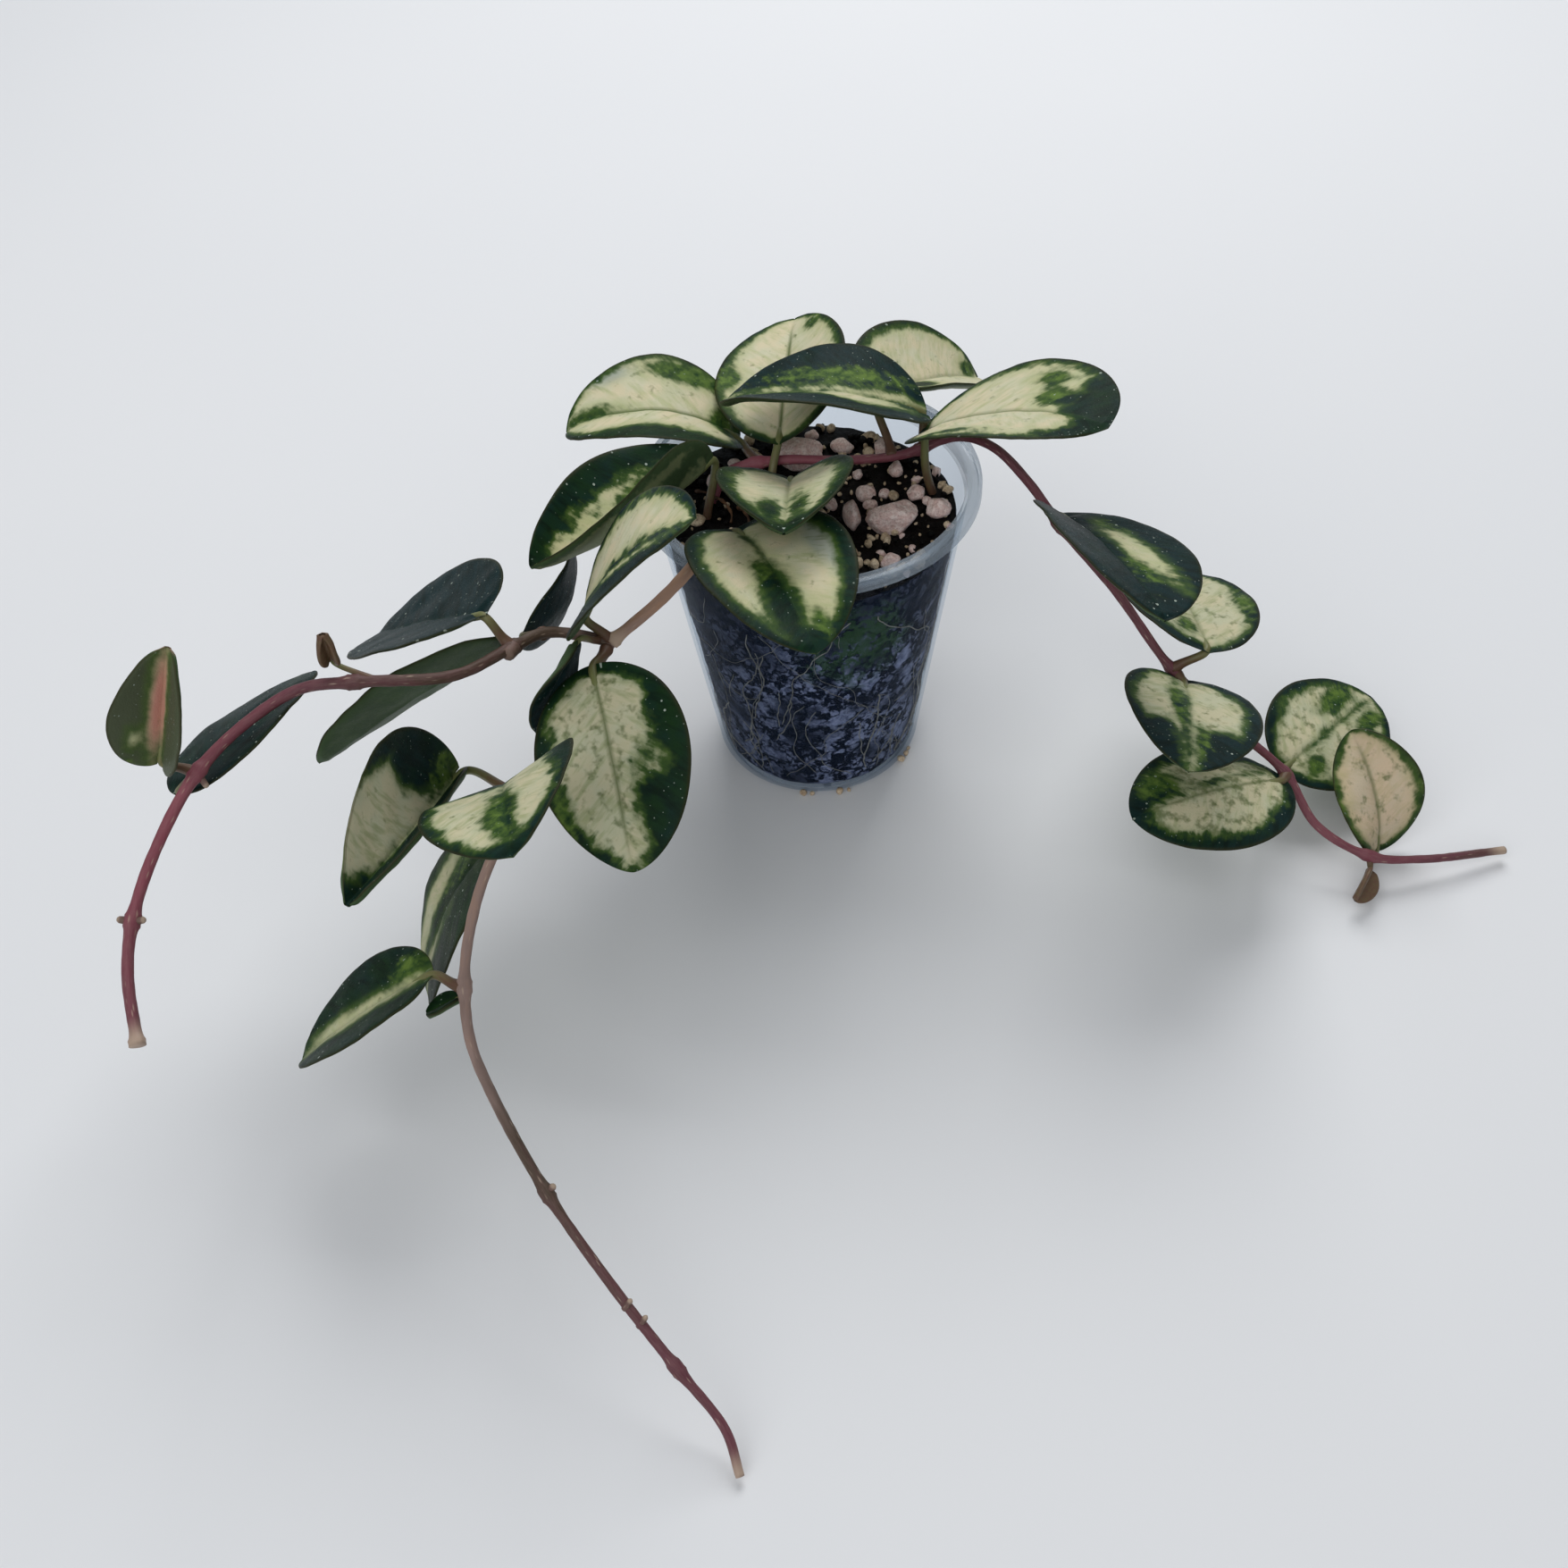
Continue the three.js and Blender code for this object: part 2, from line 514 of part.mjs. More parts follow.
function petioleCentres(leaf, axes, stems) {
  const scale = petioleScale(leaf);
  const end = point(leaf.at).addScaledVector(axes.normal, -BLADE_THICK / 2);
  const begin = point(leaf.foot || leaf.root);
  if (leaf.root) {
    const seat = nearestOn(stems, begin);
    const way = end.clone().sub(seat.close).normalize();
    const slant = Math.min(Math.abs(way.dot(seat.tangent)), 0.85);
    const straight = Math.sqrt(1 - slant * slant);
    const clear = (seat.radius + GAP + PETIOLE_RADIUS * scale * slant) / straight;
    begin.copy(seat.close).addScaledVector(way, clear);
  }
  const reach = begin.distanceTo(end) * 0.4;
  const leave = leaf.foot ? new THREE.Vector3(0, 0, 1) : end.clone().sub(begin).normalize();
  const curve = leaf.bend
    ? new THREE.CatmullRomCurve3([begin, point(leaf.bend), end], false, 'centripetal')
    : new THREE.CubicBezierCurve3(
      begin,
      begin.clone().addScaledVector(leave, reach),
      end.clone().addScaledVector(axes.along, -reach),
      end,
    );
  const centres = curve.getPoints(PETIOLE_STEPS);
  centres.push(end.clone().addScaledVector(axes.along, PETIOLE_INTO_BLADE * scale));
  return centres;
}

function petioleRadii(leaf, centres) {
  const scale = petioleScale(leaf);
  return centres.map((centre, index) => {
    const share = index / (centres.length - 1);
    return scale * THREE.MathUtils.lerp(PETIOLE_RADIUS, PETIOLE_END_RADIUS, share);
  });
}

function leafMesh(leaf, stems) {
  const axes = bladeAxes(leaf);
  const centres = petioleCentres(leaf, axes, stems);
  const petiole = solidOf(limb(centres, petioleRadii(leaf, centres), PETIOLE_SIDES));
  const whole = largestBody(bladeSolid(leaf, axes).add(petiole));
  return namedMesh(leaf.name, geometryOf(whole), leaf.finish);
}

// Cup and soil
function innerRadius(height) {
  const share = (height - CUP_FOOT_HEIGHT) / (CUP_NECK_HEIGHT - CUP_FOOT_HEIGHT);
  return THREE.MathUtils.lerp(CUP_FOOT_RADIUS, CUP_NECK_RADIUS, share) - CUP_WALL;
}

function cupMesh() {
  const lipTop = CUP_HEIGHT - CUP_WALL;
  const profile = [
    [0, 0],
    [CUP_BASE_RADIUS, 0],
    [CUP_BASE_RADIUS + 1.9, 0.8],
    [CUP_FOOT_RADIUS - 0.4, 2.1],
    [CUP_FOOT_RADIUS, CUP_FOOT_HEIGHT],
    [CUP_NECK_RADIUS, CUP_NECK_HEIGHT],
    [CUP_NECK_RADIUS + 0.3, lipTop - 0.5],
    [LIP_INNER_RADIUS + 0.5, lipTop],
    [LIP_OUTER_RADIUS - CUP_WALL - 0.4, lipTop],
    [LIP_OUTER_RADIUS - CUP_WALL, lipTop - 0.4],
    [LIP_OUTER_RADIUS - CUP_WALL, CUP_HEIGHT - LIP_DROP],
    [LIP_OUTER_RADIUS, CUP_HEIGHT - LIP_DROP],
    [LIP_OUTER_RADIUS, CUP_HEIGHT - 0.7],
    [LIP_OUTER_RADIUS - 0.6, CUP_HEIGHT],
    [LIP_INNER_RADIUS, CUP_HEIGHT],
    [LIP_INNER_RADIUS - 0.8, CUP_HEIGHT - 0.8],
    [CUP_NECK_RADIUS - CUP_WALL, CUP_NECK_HEIGHT],
    [CUP_FOOT_RADIUS - CUP_WALL, CUP_FOOT_HEIGHT + 0.2],
    [CUP_FOOT_RADIUS - 1.4, 2.4],
    [CUP_BASE_RADIUS + 1.2, 1.5],
    [CUP_BASE_RADIUS - 0.4, 0.9],
    [0, 0.9],
  ];
  return namedMesh('cup', turned(profile, CUP_SEGMENTS), 'clearPlastic');
}

function soilHeight(x, y) {
  const broad = Math.sin(x * 0.21 + 0.6) * Math.cos(y * 0.24 - 0.4);
  const fine = Math.sin(x * 0.63 + y * 0.41) * Math.cos(y * 0.72 - x * 0.33);
  return SOIL_LEVEL + SOIL_WAVE * (0.6 * broad + 0.4 * fine);
}

function pebble({ at, size, turn }, detail, grow, seed) {
  const base = new THREE.IcosahedronGeometry(1, detail);
  base.deleteAttribute('normal');
  base.deleteAttribute('uv');
  const geometry = mergeVertices(base, 1e-4);
  const random = seededRandom(seed);
  const places = geometry.attributes.position;
  const spin = new THREE.Matrix4().makeRotationZ(THREE.MathUtils.degToRad(turn));
  for (let index = 0; index < places.count; index += 1) {
    const vertex = new THREE.Vector3().fromBufferAttribute(places, index);
    vertex.multiplyScalar(0.88 + 0.2 * random());
    vertex.multiply(point(size).multiplyScalar(0.5).addScalar(grow));
    vertex.applyMatrix4(spin).add(point(at));
    places.setXYZ(index, vertex.x, vertex.y, vertex.z);
  }
  return geometry;
}

function gravelSpots(keepClear) {
  const random = seededRandom(SEED);
  const spots = [];
  while (spots.length < GRAVEL_COUNT) {
    const angle = 2 * Math.PI * random();
    const distance = 31 * Math.sqrt(random());
    const radius = THREE.MathUtils.lerp(GRAVEL_SMALL, GRAVEL_LARGE, random() ** 2);
    const turn = 360 * random();
    const x = distance * Math.cos(angle);
    const y = distance * Math.sin(angle);
    if (keepClear.every((spot) => Math.hypot(x - spot[0], y - spot[1]) > radius + spot[2])) {
      const size = [2 * radius, 1.7 * radius, 1.5 * radius];
      spots.push({ at: [x, y, soilHeight(x, y) + 0.25 * radius], size, turn });
    }
  }
  return spots;
}

function soilMesh(stemCuts, footCuts, keepClear) {
  const sideTop = SOIL_LEVEL - 0.9;
  const profile = [
    [0, 0.9 + GAP],
    [CUP_BASE_RADIUS - 0.9, 0.9 + GAP],
    [CUP_BASE_RADIUS + 0.7, 1.5 + GAP + 0.2],
    [CUP_FOOT_RADIUS - 1.4 - GAP, 2.4 + GAP],
    [CUP_FOOT_RADIUS - CUP_WALL - GAP, CUP_FOOT_HEIGHT + 0.6],
    [innerRadius(sideTop) - GAP, sideTop],
    ...SOIL_RINGS.map((radius) => [radius, SOIL_LEVEL]),
    [0, SOIL_LEVEL],
  ];
  const ground = (x, y, z) => (z === SOIL_LEVEL ? soilHeight(x, y) : z);
  let soil = solidOf(turned(profile, CUP_SEGMENTS, ground));
  gravelSpots(keepClear).forEach((spot, index) => {
    soil = soil.add(solidOf(pebble(spot, 0, 0, SEED + index)));
  });
  STONES.forEach((stone, index) => {
    soil = soil.subtract(solidOf(pebble(stone, 1, 1.3 * GAP, index + 1)));
  });
  [...stemCuts, ...footCuts].forEach((cut) => {
    soil = soil.subtract(cut);
  });
  return namedMesh('soil', geometryOf(largestBody(soil)), 'soil');
}

// Assembly
const hoya = new THREE.Group();
hoya.name = 'asami_hoya';

const rightStem = stemOf(RIGHT_STEM);
const trunk = stemOf(FORK_TRUNK);
const leftBranch = stemOf(LEFT_BRANCH);
const frontBranch = stemOf(FRONT_BRANCH);
const stems = [rightStem, trunk, leftBranch, frontBranch];

let forked = stemSolid(trunk).add(stemSolid(leftBranch)).add(stemSolid(frontBranch));
STUBS.forEach((stub) => {
  forked = forked.add(stubSolid(stub));
});

const soilFeet = LEAVES.filter((leaf) => leaf.foot);
const footCuts = soilFeet.map((leaf) => {
  const centres = petioleCentres(leaf, bladeAxes(leaf), stems);
  return holeSolid(centres, petioleRadii(leaf, centres), PETIOLE_SIDES);
});
const keepClear = [
  ...STONES.map(({ at, size }) => [at[0], at[1], Math.max(size[0], size[1]) / 2 + 0.5]),
  ...soilFeet.map(({ foot }) => [foot[0], foot[1], 3]),
  [RIGHT_STEM.route[1][0], RIGHT_STEM.route[1][1], 4],
  [FORK_TRUNK.route[1][0], FORK_TRUNK.route[1][1], 5],
];

hoya.add(cupMesh());
const stemCuts = [rightStem, trunk].map(({ centres, radii }) => holeSolid(centres, radii, STEM_SIDES));
hoya.add(soilMesh(stemCuts, footCuts, keepClear));
STONES.forEach((stone, index) => {
  hoya.add(namedMesh(stone.name, pebble(stone, 1, 0, index + 1), 'pumice'));
});
hoya.add(namedMesh('stem_right', geometryOf(stemSolid(rightStem)), 'stemMaroon'));
hoya.add(namedMesh('stem_left', geometryOf(largestBody(forked)), 'stemBrown'));
LEAVES.forEach((leaf) => {
  hoya.add(leafMesh(leaf, stems));
});

export default hoya;
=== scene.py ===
"""A trailing variegated hoya in a small clear cup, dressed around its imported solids."""

import logging
import math
from collections.abc import Iterable, Sequence
from dataclasses import dataclass, field
from enum import Enum

import bmesh
import bpy
import numpy as np
from mathutils import Matrix, Vector, noise


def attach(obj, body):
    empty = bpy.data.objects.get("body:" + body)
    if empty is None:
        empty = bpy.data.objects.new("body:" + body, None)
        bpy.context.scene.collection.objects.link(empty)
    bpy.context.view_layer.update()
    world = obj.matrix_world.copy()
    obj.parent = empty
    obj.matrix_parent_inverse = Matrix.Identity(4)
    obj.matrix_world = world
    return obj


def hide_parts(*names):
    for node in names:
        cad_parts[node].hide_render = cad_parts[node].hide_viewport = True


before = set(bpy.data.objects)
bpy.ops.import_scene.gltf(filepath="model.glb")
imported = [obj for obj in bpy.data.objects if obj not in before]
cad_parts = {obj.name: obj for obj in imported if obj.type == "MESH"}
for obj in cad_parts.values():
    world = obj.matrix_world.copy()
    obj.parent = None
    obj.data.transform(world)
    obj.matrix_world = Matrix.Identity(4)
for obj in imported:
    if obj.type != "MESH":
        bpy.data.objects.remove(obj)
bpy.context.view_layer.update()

log = logging.getLogger("hoya")

MM = 0.001
BODY = "root"

Point = tuple[float, float, float]
Faces = list[tuple[int, ...]]
Tree = bpy.types.NodeTree
Wire = bpy.types.Node | bpy.types.NodeSocket
Ways = dict[str, Wire]

# Settings that many nodes share
COLOURS = {"data_type": "RGBA"}
SMOOTH = {"interpolation_type": "SMOOTHSTEP"}
SCALE_AND_ADD = {"operation": "MULTIPLY_ADD"}

# Camera at the photograph's own view, in millimetres, degrees and pixels
CAMERA_PLACE: Point = (-10.1145, -336.8589, 332.5809)
CAMERA_TILT = 43.5517
CAMERA_ROLL = -3.3985
FRAME_PIXELS = 1755
FOCAL_PIXELS = 2000
SENSOR_WIDTH = 36.0

# Stage and lamps, in metres and watts
FLOOR_HALF = 2.4
FLOOR_LENGTH = 3.0
KEY_PLACE: Point = (0.15, 0.75, 1.0)
KEY_SIZE = 0.8
KEY_POWER = 9.5
FILL_PLACE: Point = (-0.45, -0.9, 0.95)
FILL_SIZE = 1.4
FILL_POWER = 9.0
SKY_STRENGTH = 0.34


class Mark(Enum):
    """What a patch of a blade's upper face looks like, where a later patch covers an earlier one."""

    CREAM = "cream"
    DARK = "dark"
    LIME = "lime"
    BLUSH = "blush"
    # Painted shade: a grey zone laid on the cream where the leaf lies in shade.
    ASHEN = "painted_shade"


def linear(colour: str) -> tuple[float, float, float, float]:
    """Turns an sRGB hex colour to the linear colour that shaders take.

    Args:
        colour: a colour such as "#c8c29a".

    Returns:
        Red, green, blue and an alpha of 1.
    """
    parts = [int(colour[k : k + 2], 16) / 255 for k in (1, 3, 5)]
    curved = [p / 12.92 if p <= 0.04045 else ((p + 0.055) / 1.055) ** 2.4 for p in parts]
    return (curved[0], curved[1], curved[2], 1.0)


def add_node(
    tree: Tree, kind: str, inputs: dict[int | str, object] | None = None, **settings: object
) -> bpy.types.Node:
    """Adds a node to a material with its settings and links.

    Args:
        tree: the material's node tree.
        kind: the shader node's type, such as "Mix".
        inputs: what goes into its sockets: a number, an sRGB hex colour, a socket to link, or a node
            to link by its first live output.
        settings: the node's own properties.

    Returns:
        The new node.
    """
    made = tree.nodes.new("ShaderNode" + kind)
    for name, value in settings.items():
        setattr(made, name, value)
    for key, value in (inputs or {}).items():
        if isinstance(value, str):
            value = linear(value)
        elif isinstance(value, bpy.types.Node):
            value = next(socket for socket in value.outputs if socket.enabled)
        if isinstance(value, bpy.types.NodeSocket):
            tree.links.new(value, made.inputs[key])
        else:
            made.inputs[key].default_value = value
    return made


def lay_over(
    tree: Tree, base: object, top: object, mask: Wire, low: float, high: float, most: float = 1.0,
    **settings: object,
) -> bpy.types.Node:
    """Lays a top colour over a base as a mask goes from low to high, with at most that share."""
    share = add_node(tree, "MapRange", {0: mask, 1: low, 2: high, 3: 0.0, 4: most}, **settings)
    return add_node(tree, "Mix", {0: share, 6: base, 7: top}, **COLOURS)


def end_material(
    tree: Tree, inputs: dict[str, object], relief: Wire, strength: float, depth_mm: float
) -> None:
    """Ends a material in its shader, with fine relief.

    Args:
        tree: the material's node tree.
        inputs: what goes into the shader, by socket.
        relief: the surface's height, from 0 to 1.
        strength: how much of the relief shows.
        depth_mm: the relief's depth.
    """
    bump = add_node(tree, "Bump", {"Strength": strength, "Distance": depth_mm * MM, "Height": relief})
    shader = add_node(tree, "BsdfPrincipled", {**inputs, "Normal": bump})
    add_node(tree, "OutputMaterial", {"Surface": shader})


def new_material(name: str) -> tuple[bpy.types.Material, Tree]:
    """Makes a node material with nothing in it.

    Args:
        name: what the real material is.

    Returns:
        The material and its node tree.
    """
    material = bpy.data.materials.new(name)
    material.use_nodes = True
    material.node_tree.nodes.clear()
    return material, material.node_tree


def smooth_step(low: float, high: float, value: np.ndarray) -> np.ndarray:
    """Rises smoothly from 0 at low to 1 at high."""
    share = np.clip((value - low) / (high - low), 0, 1)
    return share * share * (3 - 2 * share)


def catmull_rom(route: Sequence[Point], steps: int) -> np.ndarray:
    """Samples the centripetal curve through a route, alike in every span.

    Args:
        route: the points that the curve passes.
        steps: samples in each span.

    Returns:
        The curve's points as an array, in millimetres.
    """
    knots = np.array(route, float)
    knots = np.vstack([2 * knots[0] - knots[1], knots, 2 * knots[-1] - knots[-2]])
    found = [knots[1]]
    for index in range(1, len(knots) - 2):
        before, begin, end, after = knots[index - 1 : index + 3]
        spans = ((before, begin), (begin, end), (end, after))
        gaps = [np.linalg.norm(b - a) ** 0.5 for a, b in spans]
        first, middle, last = ((b - a) / gap for (a, b), gap in zip(spans, gaps))
        leave = (first - (end - before) / (gaps[0] + gaps[1]) + middle) * gaps[1]
        reach = (middle - (after - begin) / (gaps[1] + gaps[2]) + last) * gaps[1]
        for share in np.arange(1, steps + 1) / steps:
            cube = (2 * begin - 2 * end + leave + reach) * share**3
            square = (3 * end - 3 * begin - 2 * leave - reach) * share**2
            found.append(cube + square + leave * share + begin)
    return np.array(found)


def bezier(corners: Sequence[np.ndarray], steps: int) -> np.ndarray:
    """Samples a cubic curve.

    Args:
        corners: its four control points.
        steps: samples along it.

    Returns:
        The curve's points as an array.
    """
    share = np.linspace(0, 1, steps + 1)[:, None]
    a, b, c, d = corners
    rest = 1 - share
    return a * rest**3 + 3 * b * rest**2 * share + 3 * c * rest * share**2 + d * share**3


def spaced(curve: np.ndarray, step: float) -> tuple[np.ndarray, np.ndarray]:
    """Puts points on a curve at an even distance.

    Args:
        curve: the points of a polyline.
        step: the distance wanted, in millimetres.

    Returns:
        The new points and their distance along the curve.
    """
    lengths = np.concatenate([[0], np.cumsum(np.linalg.norm(np.diff(curve, axis=0), axis=1))])
    along = np.linspace(0, lengths[-1], max(int(round(lengths[-1] / step)), 2) + 1)
    return np.stack([np.interp(along, lengths, curve[:, k]) for k in range(3)], 1), along


def tube(centres: np.ndarray, radii: np.ndarray, sides: int) -> tuple[np.ndarray, Faces, np.ndarray]:
    """Makes a closed round tube whose section turns with its line and never twists.

    Args:
        centres: the points of its line.
        radii: its radius at each of them, or at each point of each ring.
        sides: points in a ring.

    Returns:
        The tube's points, its faces, and each point's angle round the line.
    """
    tangents = np.gradient(centres, axis=0)
    tangents /= np.linalg.norm(tangents, axis=1)[:, None]
    helper = np.array([0.0, 0.0, 1.0]) if abs(tangents[0][2]) < 0.9 else np.array([1.0, 0.0, 0.0])
    side = np.cross(tangents[0], helper)
    sides_of = []
    for tangent in tangents:
        side = side - tangent * (side @ tangent)
        side /= np.linalg.norm(side)
        sides_of.append(side)
    side_rows = np.array(sides_of)
    across_rows = np.cross(tangents, side_rows)
    angle = np.arange(sides) * 2 * np.pi / sides
    turns = angle[None, :, None]
    ring = np.cos(turns) * side_rows[:, None] + np.sin(turns) * across_rows[:, None]
    thick = radii[:, None] if radii.ndim == 1 else radii
    points = (centres[:, None] + ring * thick[..., None]).reshape(-1, 3)
    rows = len(centres)
    faces = [
        (low + k, low + (k + 1) % sides, low + sides + (k + 1) % sides, low + sides + k)
        for low in range(0, (rows - 1) * sides, sides)
        for k in range(sides)
    ]
    first, last = len(points), len(points) + 1
    points = np.vstack([points, centres[0], centres[-1]])
    faces += [(first, (k + 1) % sides, k) for k in range(sides)]
    end = (rows - 1) * sides
    faces += [(last, end + k, end + (k + 1) % sides) for k in range(sides)]
    return points, faces, np.concatenate([np.tile(angle, rows), [0, 0]])


def on_rings(values: np.ndarray, sides: int) -> np.ndarray:
    """Repeats a value of each ring of a tube for its points and its two end points."""
    return np.concatenate([np.repeat(values, sides), [values[0], values[-1]]])


def fractal(points: np.ndarray, scale: float, seed: float = 0.0, octaves: int = 3) -> np.ndarray:
    """Samples smooth fractal noise, about -1 to 1, with forms about scale millimetres wide."""
    shift = Vector((seed, -1.7 * seed, 0.6 * seed))
    return np.array([noise.fractal(Vector(p) / scale + shift, 1.0, 2.0, octaves) for p in points])


class PieceMesh:
    """Gathers the points, faces and point values of one piece, part by part, in millimetres."""

    def __init__(self, name: str) -> None:
        """Starts an empty piece.

        Args:
            name: the piece's name.
        """
        self.name = name
        self.points: list[np.ndarray] = []
        self.faces: Faces = []
        self.finishes: list[int] = []
        self.values: dict[str, list[np.ndarray]] = {}
        self.count = 0

    def add(
        self, points: np.ndarray, faces: Iterable[Sequence[int]], finish: int = 0, **values: object
    ) -> None:
        """Adds one part.

        Args:
            points: its points.
            faces: its faces, as indices of those points.
            finish: which of the piece's materials it has.
            values: a number or a row for each point, or one for all, by attribute name.
        """
        faces = [tuple(int(k) + self.count for k in face) for face in faces]
        for name, value in values.items():
            value = np.asarray(value, float)
            shape = (len(points),) + value.shape[1:] if value.ndim else (len(points),)
            empty = np.zeros((self.count,) + shape[1:])
            rows = self.values.setdefault(name, [empty] if self.count else [])
            rows.append(np.broadcast_to(value, shape))
        self.points.append(points)
        self.count += len(points)
        self.faces += faces
        self.finishes += [finish] * len(faces)
        for name, rows in self.values.items():
            held = sum(len(row) for row in rows)
            if held < self.count:
                rows.append(np.zeros((self.count - held,) + rows[0].shape[1:]))

    def make(
        self, materials: Sequence[bpy.types.Material], replaces: Sequence[str] = ()
    ) -> bpy.types.Object:
        """Builds the piece's mesh, shaded smooth, and puts it on the frame.

        Args:
            materials: its finishes.
            replaces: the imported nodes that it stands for.

        Returns:
            The finished object.
        """
        mesh = bpy.data.meshes.new(self.name)
        mesh.from_pydata((np.vstack(self.points) * MM).tolist(), [], self.faces)
        mesh.validate()
        for material in materials:
            mesh.materials.append(material)
        if len(mesh.polygons) == len(self.finishes):
            mesh.polygons.foreach_set("material_index", self.finishes)
        mesh.polygons.foreach_set("use_smooth", [True] * len(mesh.polygons))
        for name, rows in self.values.items():
            stacked = np.concatenate(rows).astype(np.float32)
            kind, key = ("FLOAT", "value") if stacked.ndim == 1 else ("FLOAT_VECTOR", "vector")
            mesh.attributes.new(name, kind, "POINT").data.foreach_set(key, stacked.ravel())
        mesh.update()
        made = bpy.data.objects.new(self.name, mesh)
        bpy.context.scene.collection.objects.link(made)
        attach(made, BODY)
        if replaces:
            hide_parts(*replaces)
        log.info("%s: %d faces", self.name, len(mesh.polygons))
        return made


@dataclass(frozen=True)
class WaxyBlade:
    """Thick hoya leaf skin: a smooth waxy cuticle over green and cream cells.

    The wax gives a soft satin gloss. The cream parts have no green cells and look matt and pale,
    and their border with the green is ragged along the side veins, with a lime fringe. The specks
    of dry sap are drawn at about twice their real size, so that they show.
    """

    name: str = "waxy_hoya_leaf"
    deep: str = "#0a1711"
    # Partly painted reflection: the leaf's own dark green with the tint of a blue surface's reflection
    # painted in.
    blue: str = "#132a2c"
    leaf_green: str = "#193317"
    olive: str = "#555c47"
    fringe: str = "#2e4a22"
    lime: str = "#5f7835"
    cream: str = "#cac8ab"
    cream_green: str = "#a9b07f"
    cream_warm: str = "#d2c8a8"
    # Painted shade: the grey that the cream turns where a leaf's grey share or grey patches are set.
    cream_painted_shade: str = "#8c9891"
    blush: str = "#cf9486"
    speck: str = "#a9b5aa"
    rim: str = "#33331f"
    vein_line: str = "#536334"
    under: str = "#4b5f3c"
    under_deep: str = "#354b34"
    under_pale: str = "#7d8660"
    wax_roughness: float = 0.44
    vein_pitch_mm: float = 2.0
    broad_mm: float = 6.25
    cloud_mm: float = 2.5
    grain_mm: float = 0.41667
    speck_pitch_mm: float = 2.2
    dust_pitch_mm: float = 1.1
    border_sways_mm: tuple[tuple[str, float], ...] = (
        ("streaks", 4.4), ("broad", 6.0), ("cloud", 3.0), ("grain", 0.6),
    )

    def build(self) -> bpy.types.Material:
        """Makes the material from the values at the blade's points.

        Returns:
            The finish of every blade.
        """
        material, tree = new_material(self.name)
        ways = {
            key: add_node(tree, "Attribute", attribute_name=key).outputs["Fac"]
            for key in (
                "cream", "lime", "blush", "under", "tone", "freckle", "rib", "edge", "grey", "ragged",
            )
        }
        flat = add_node(tree, "Attribute", attribute_name="flat").outputs["Vector"]
        vein = add_node(tree, "Attribute", attribute_name="vein").outputs["Vector"]
        ways["flat"] = flat
        for key, place, scale, detail in (
            ("streaks", vein, 1 / self.vein_pitch_mm, 2.5),
            ("broad", flat, 1 / self.broad_mm, 2.0),
            ("cloud", flat, 1 / self.cloud_mm, 2.5),
            ("grain", flat, 1 / self.grain_mm, 3.0),
        ):
            ways[key] = add_node(
                tree, "TexNoise", {"Vector": place, "Scale": scale, "Detail": detail, "Roughness": 0.6}
            )
        depth = self._depth(tree, ways)
        green = self._green(tree, ways)
        lit = add_node(tree, "Mix", {0: ways["cloud"], 6: self.fringe, 7: self.lime}, **COLOURS)
        skirt = lay_over(tree, green, lit, depth, -2.6, 0.2, 0.75, **SMOOTH)
        is_cream = add_node(tree, "MapRange", {0: depth, 1: -0.7, 2: 1.1}, **SMOOTH)
        upper = add_node(
            tree, "Mix", {0: is_cream, 6: skirt, 7: self._cream(tree, ways, depth)}, **COLOURS
        )
        line = add_node(tree, "Mix", {0: is_cream, 6: self.fringe, 7: self.vein_line}, **COLOURS)
        ribbed = add_node(tree, "Mix", {0: ways["rib"], 6: upper, 7: line}, **COLOURS)
        colour = add_node(
            tree, "Mix", {0: ways["under"], 6: ribbed, 7: self._under(tree, ways, is_cream)}, **COLOURS
        )
        rimmed = add_node(tree, "Mix", {0: ways["edge"], 6: colour, 7: self.rim}, **COLOURS)
        gloss = add_node(
            tree, "MapRange",
            {0: ways["grain"], 1: 0.3, 2: 0.7, 3: self.wax_roughness - 0.06, 4: self.wax_roughness + 0.12},
        )
        relief = add_node(tree, "Math", {0: ways["streaks"], 1: 0.8, 2: ways["grain"]}, **SCALE_AND_ADD)
        end_material(
            tree, {"Base Color": rimmed, "Roughness": gloss, "IOR": 1.45, "Specular IOR Level": 0.08},
            relief, 0.4, 0.2,
        )
        return material

    def _depth(self, tree: Tree, ways: Ways) -> Wire:
        """Measures how deep a point lies in the cream, whose border sways with the veins.

        Args:
            tree: the material's nodes.
            ways: the point values and noises, by name.

        Returns:
            The depth in millimetres, below 0 in the green.
        """
        sway = 0.0
        for key, reach in self.border_sways_mm:
            centred = add_node(tree, "Math", {0: ways[key], 1: 0.5}, operation="SUBTRACT")
            sway = add_node(tree, "Math", {0: centred, 1: reach, 2: sway}, **SCALE_AND_ADD)
        return add_node(tree, "Math", {0: sway, 1: ways["ragged"], 2: ways["cream"]}, **SCALE_AND_ADD)

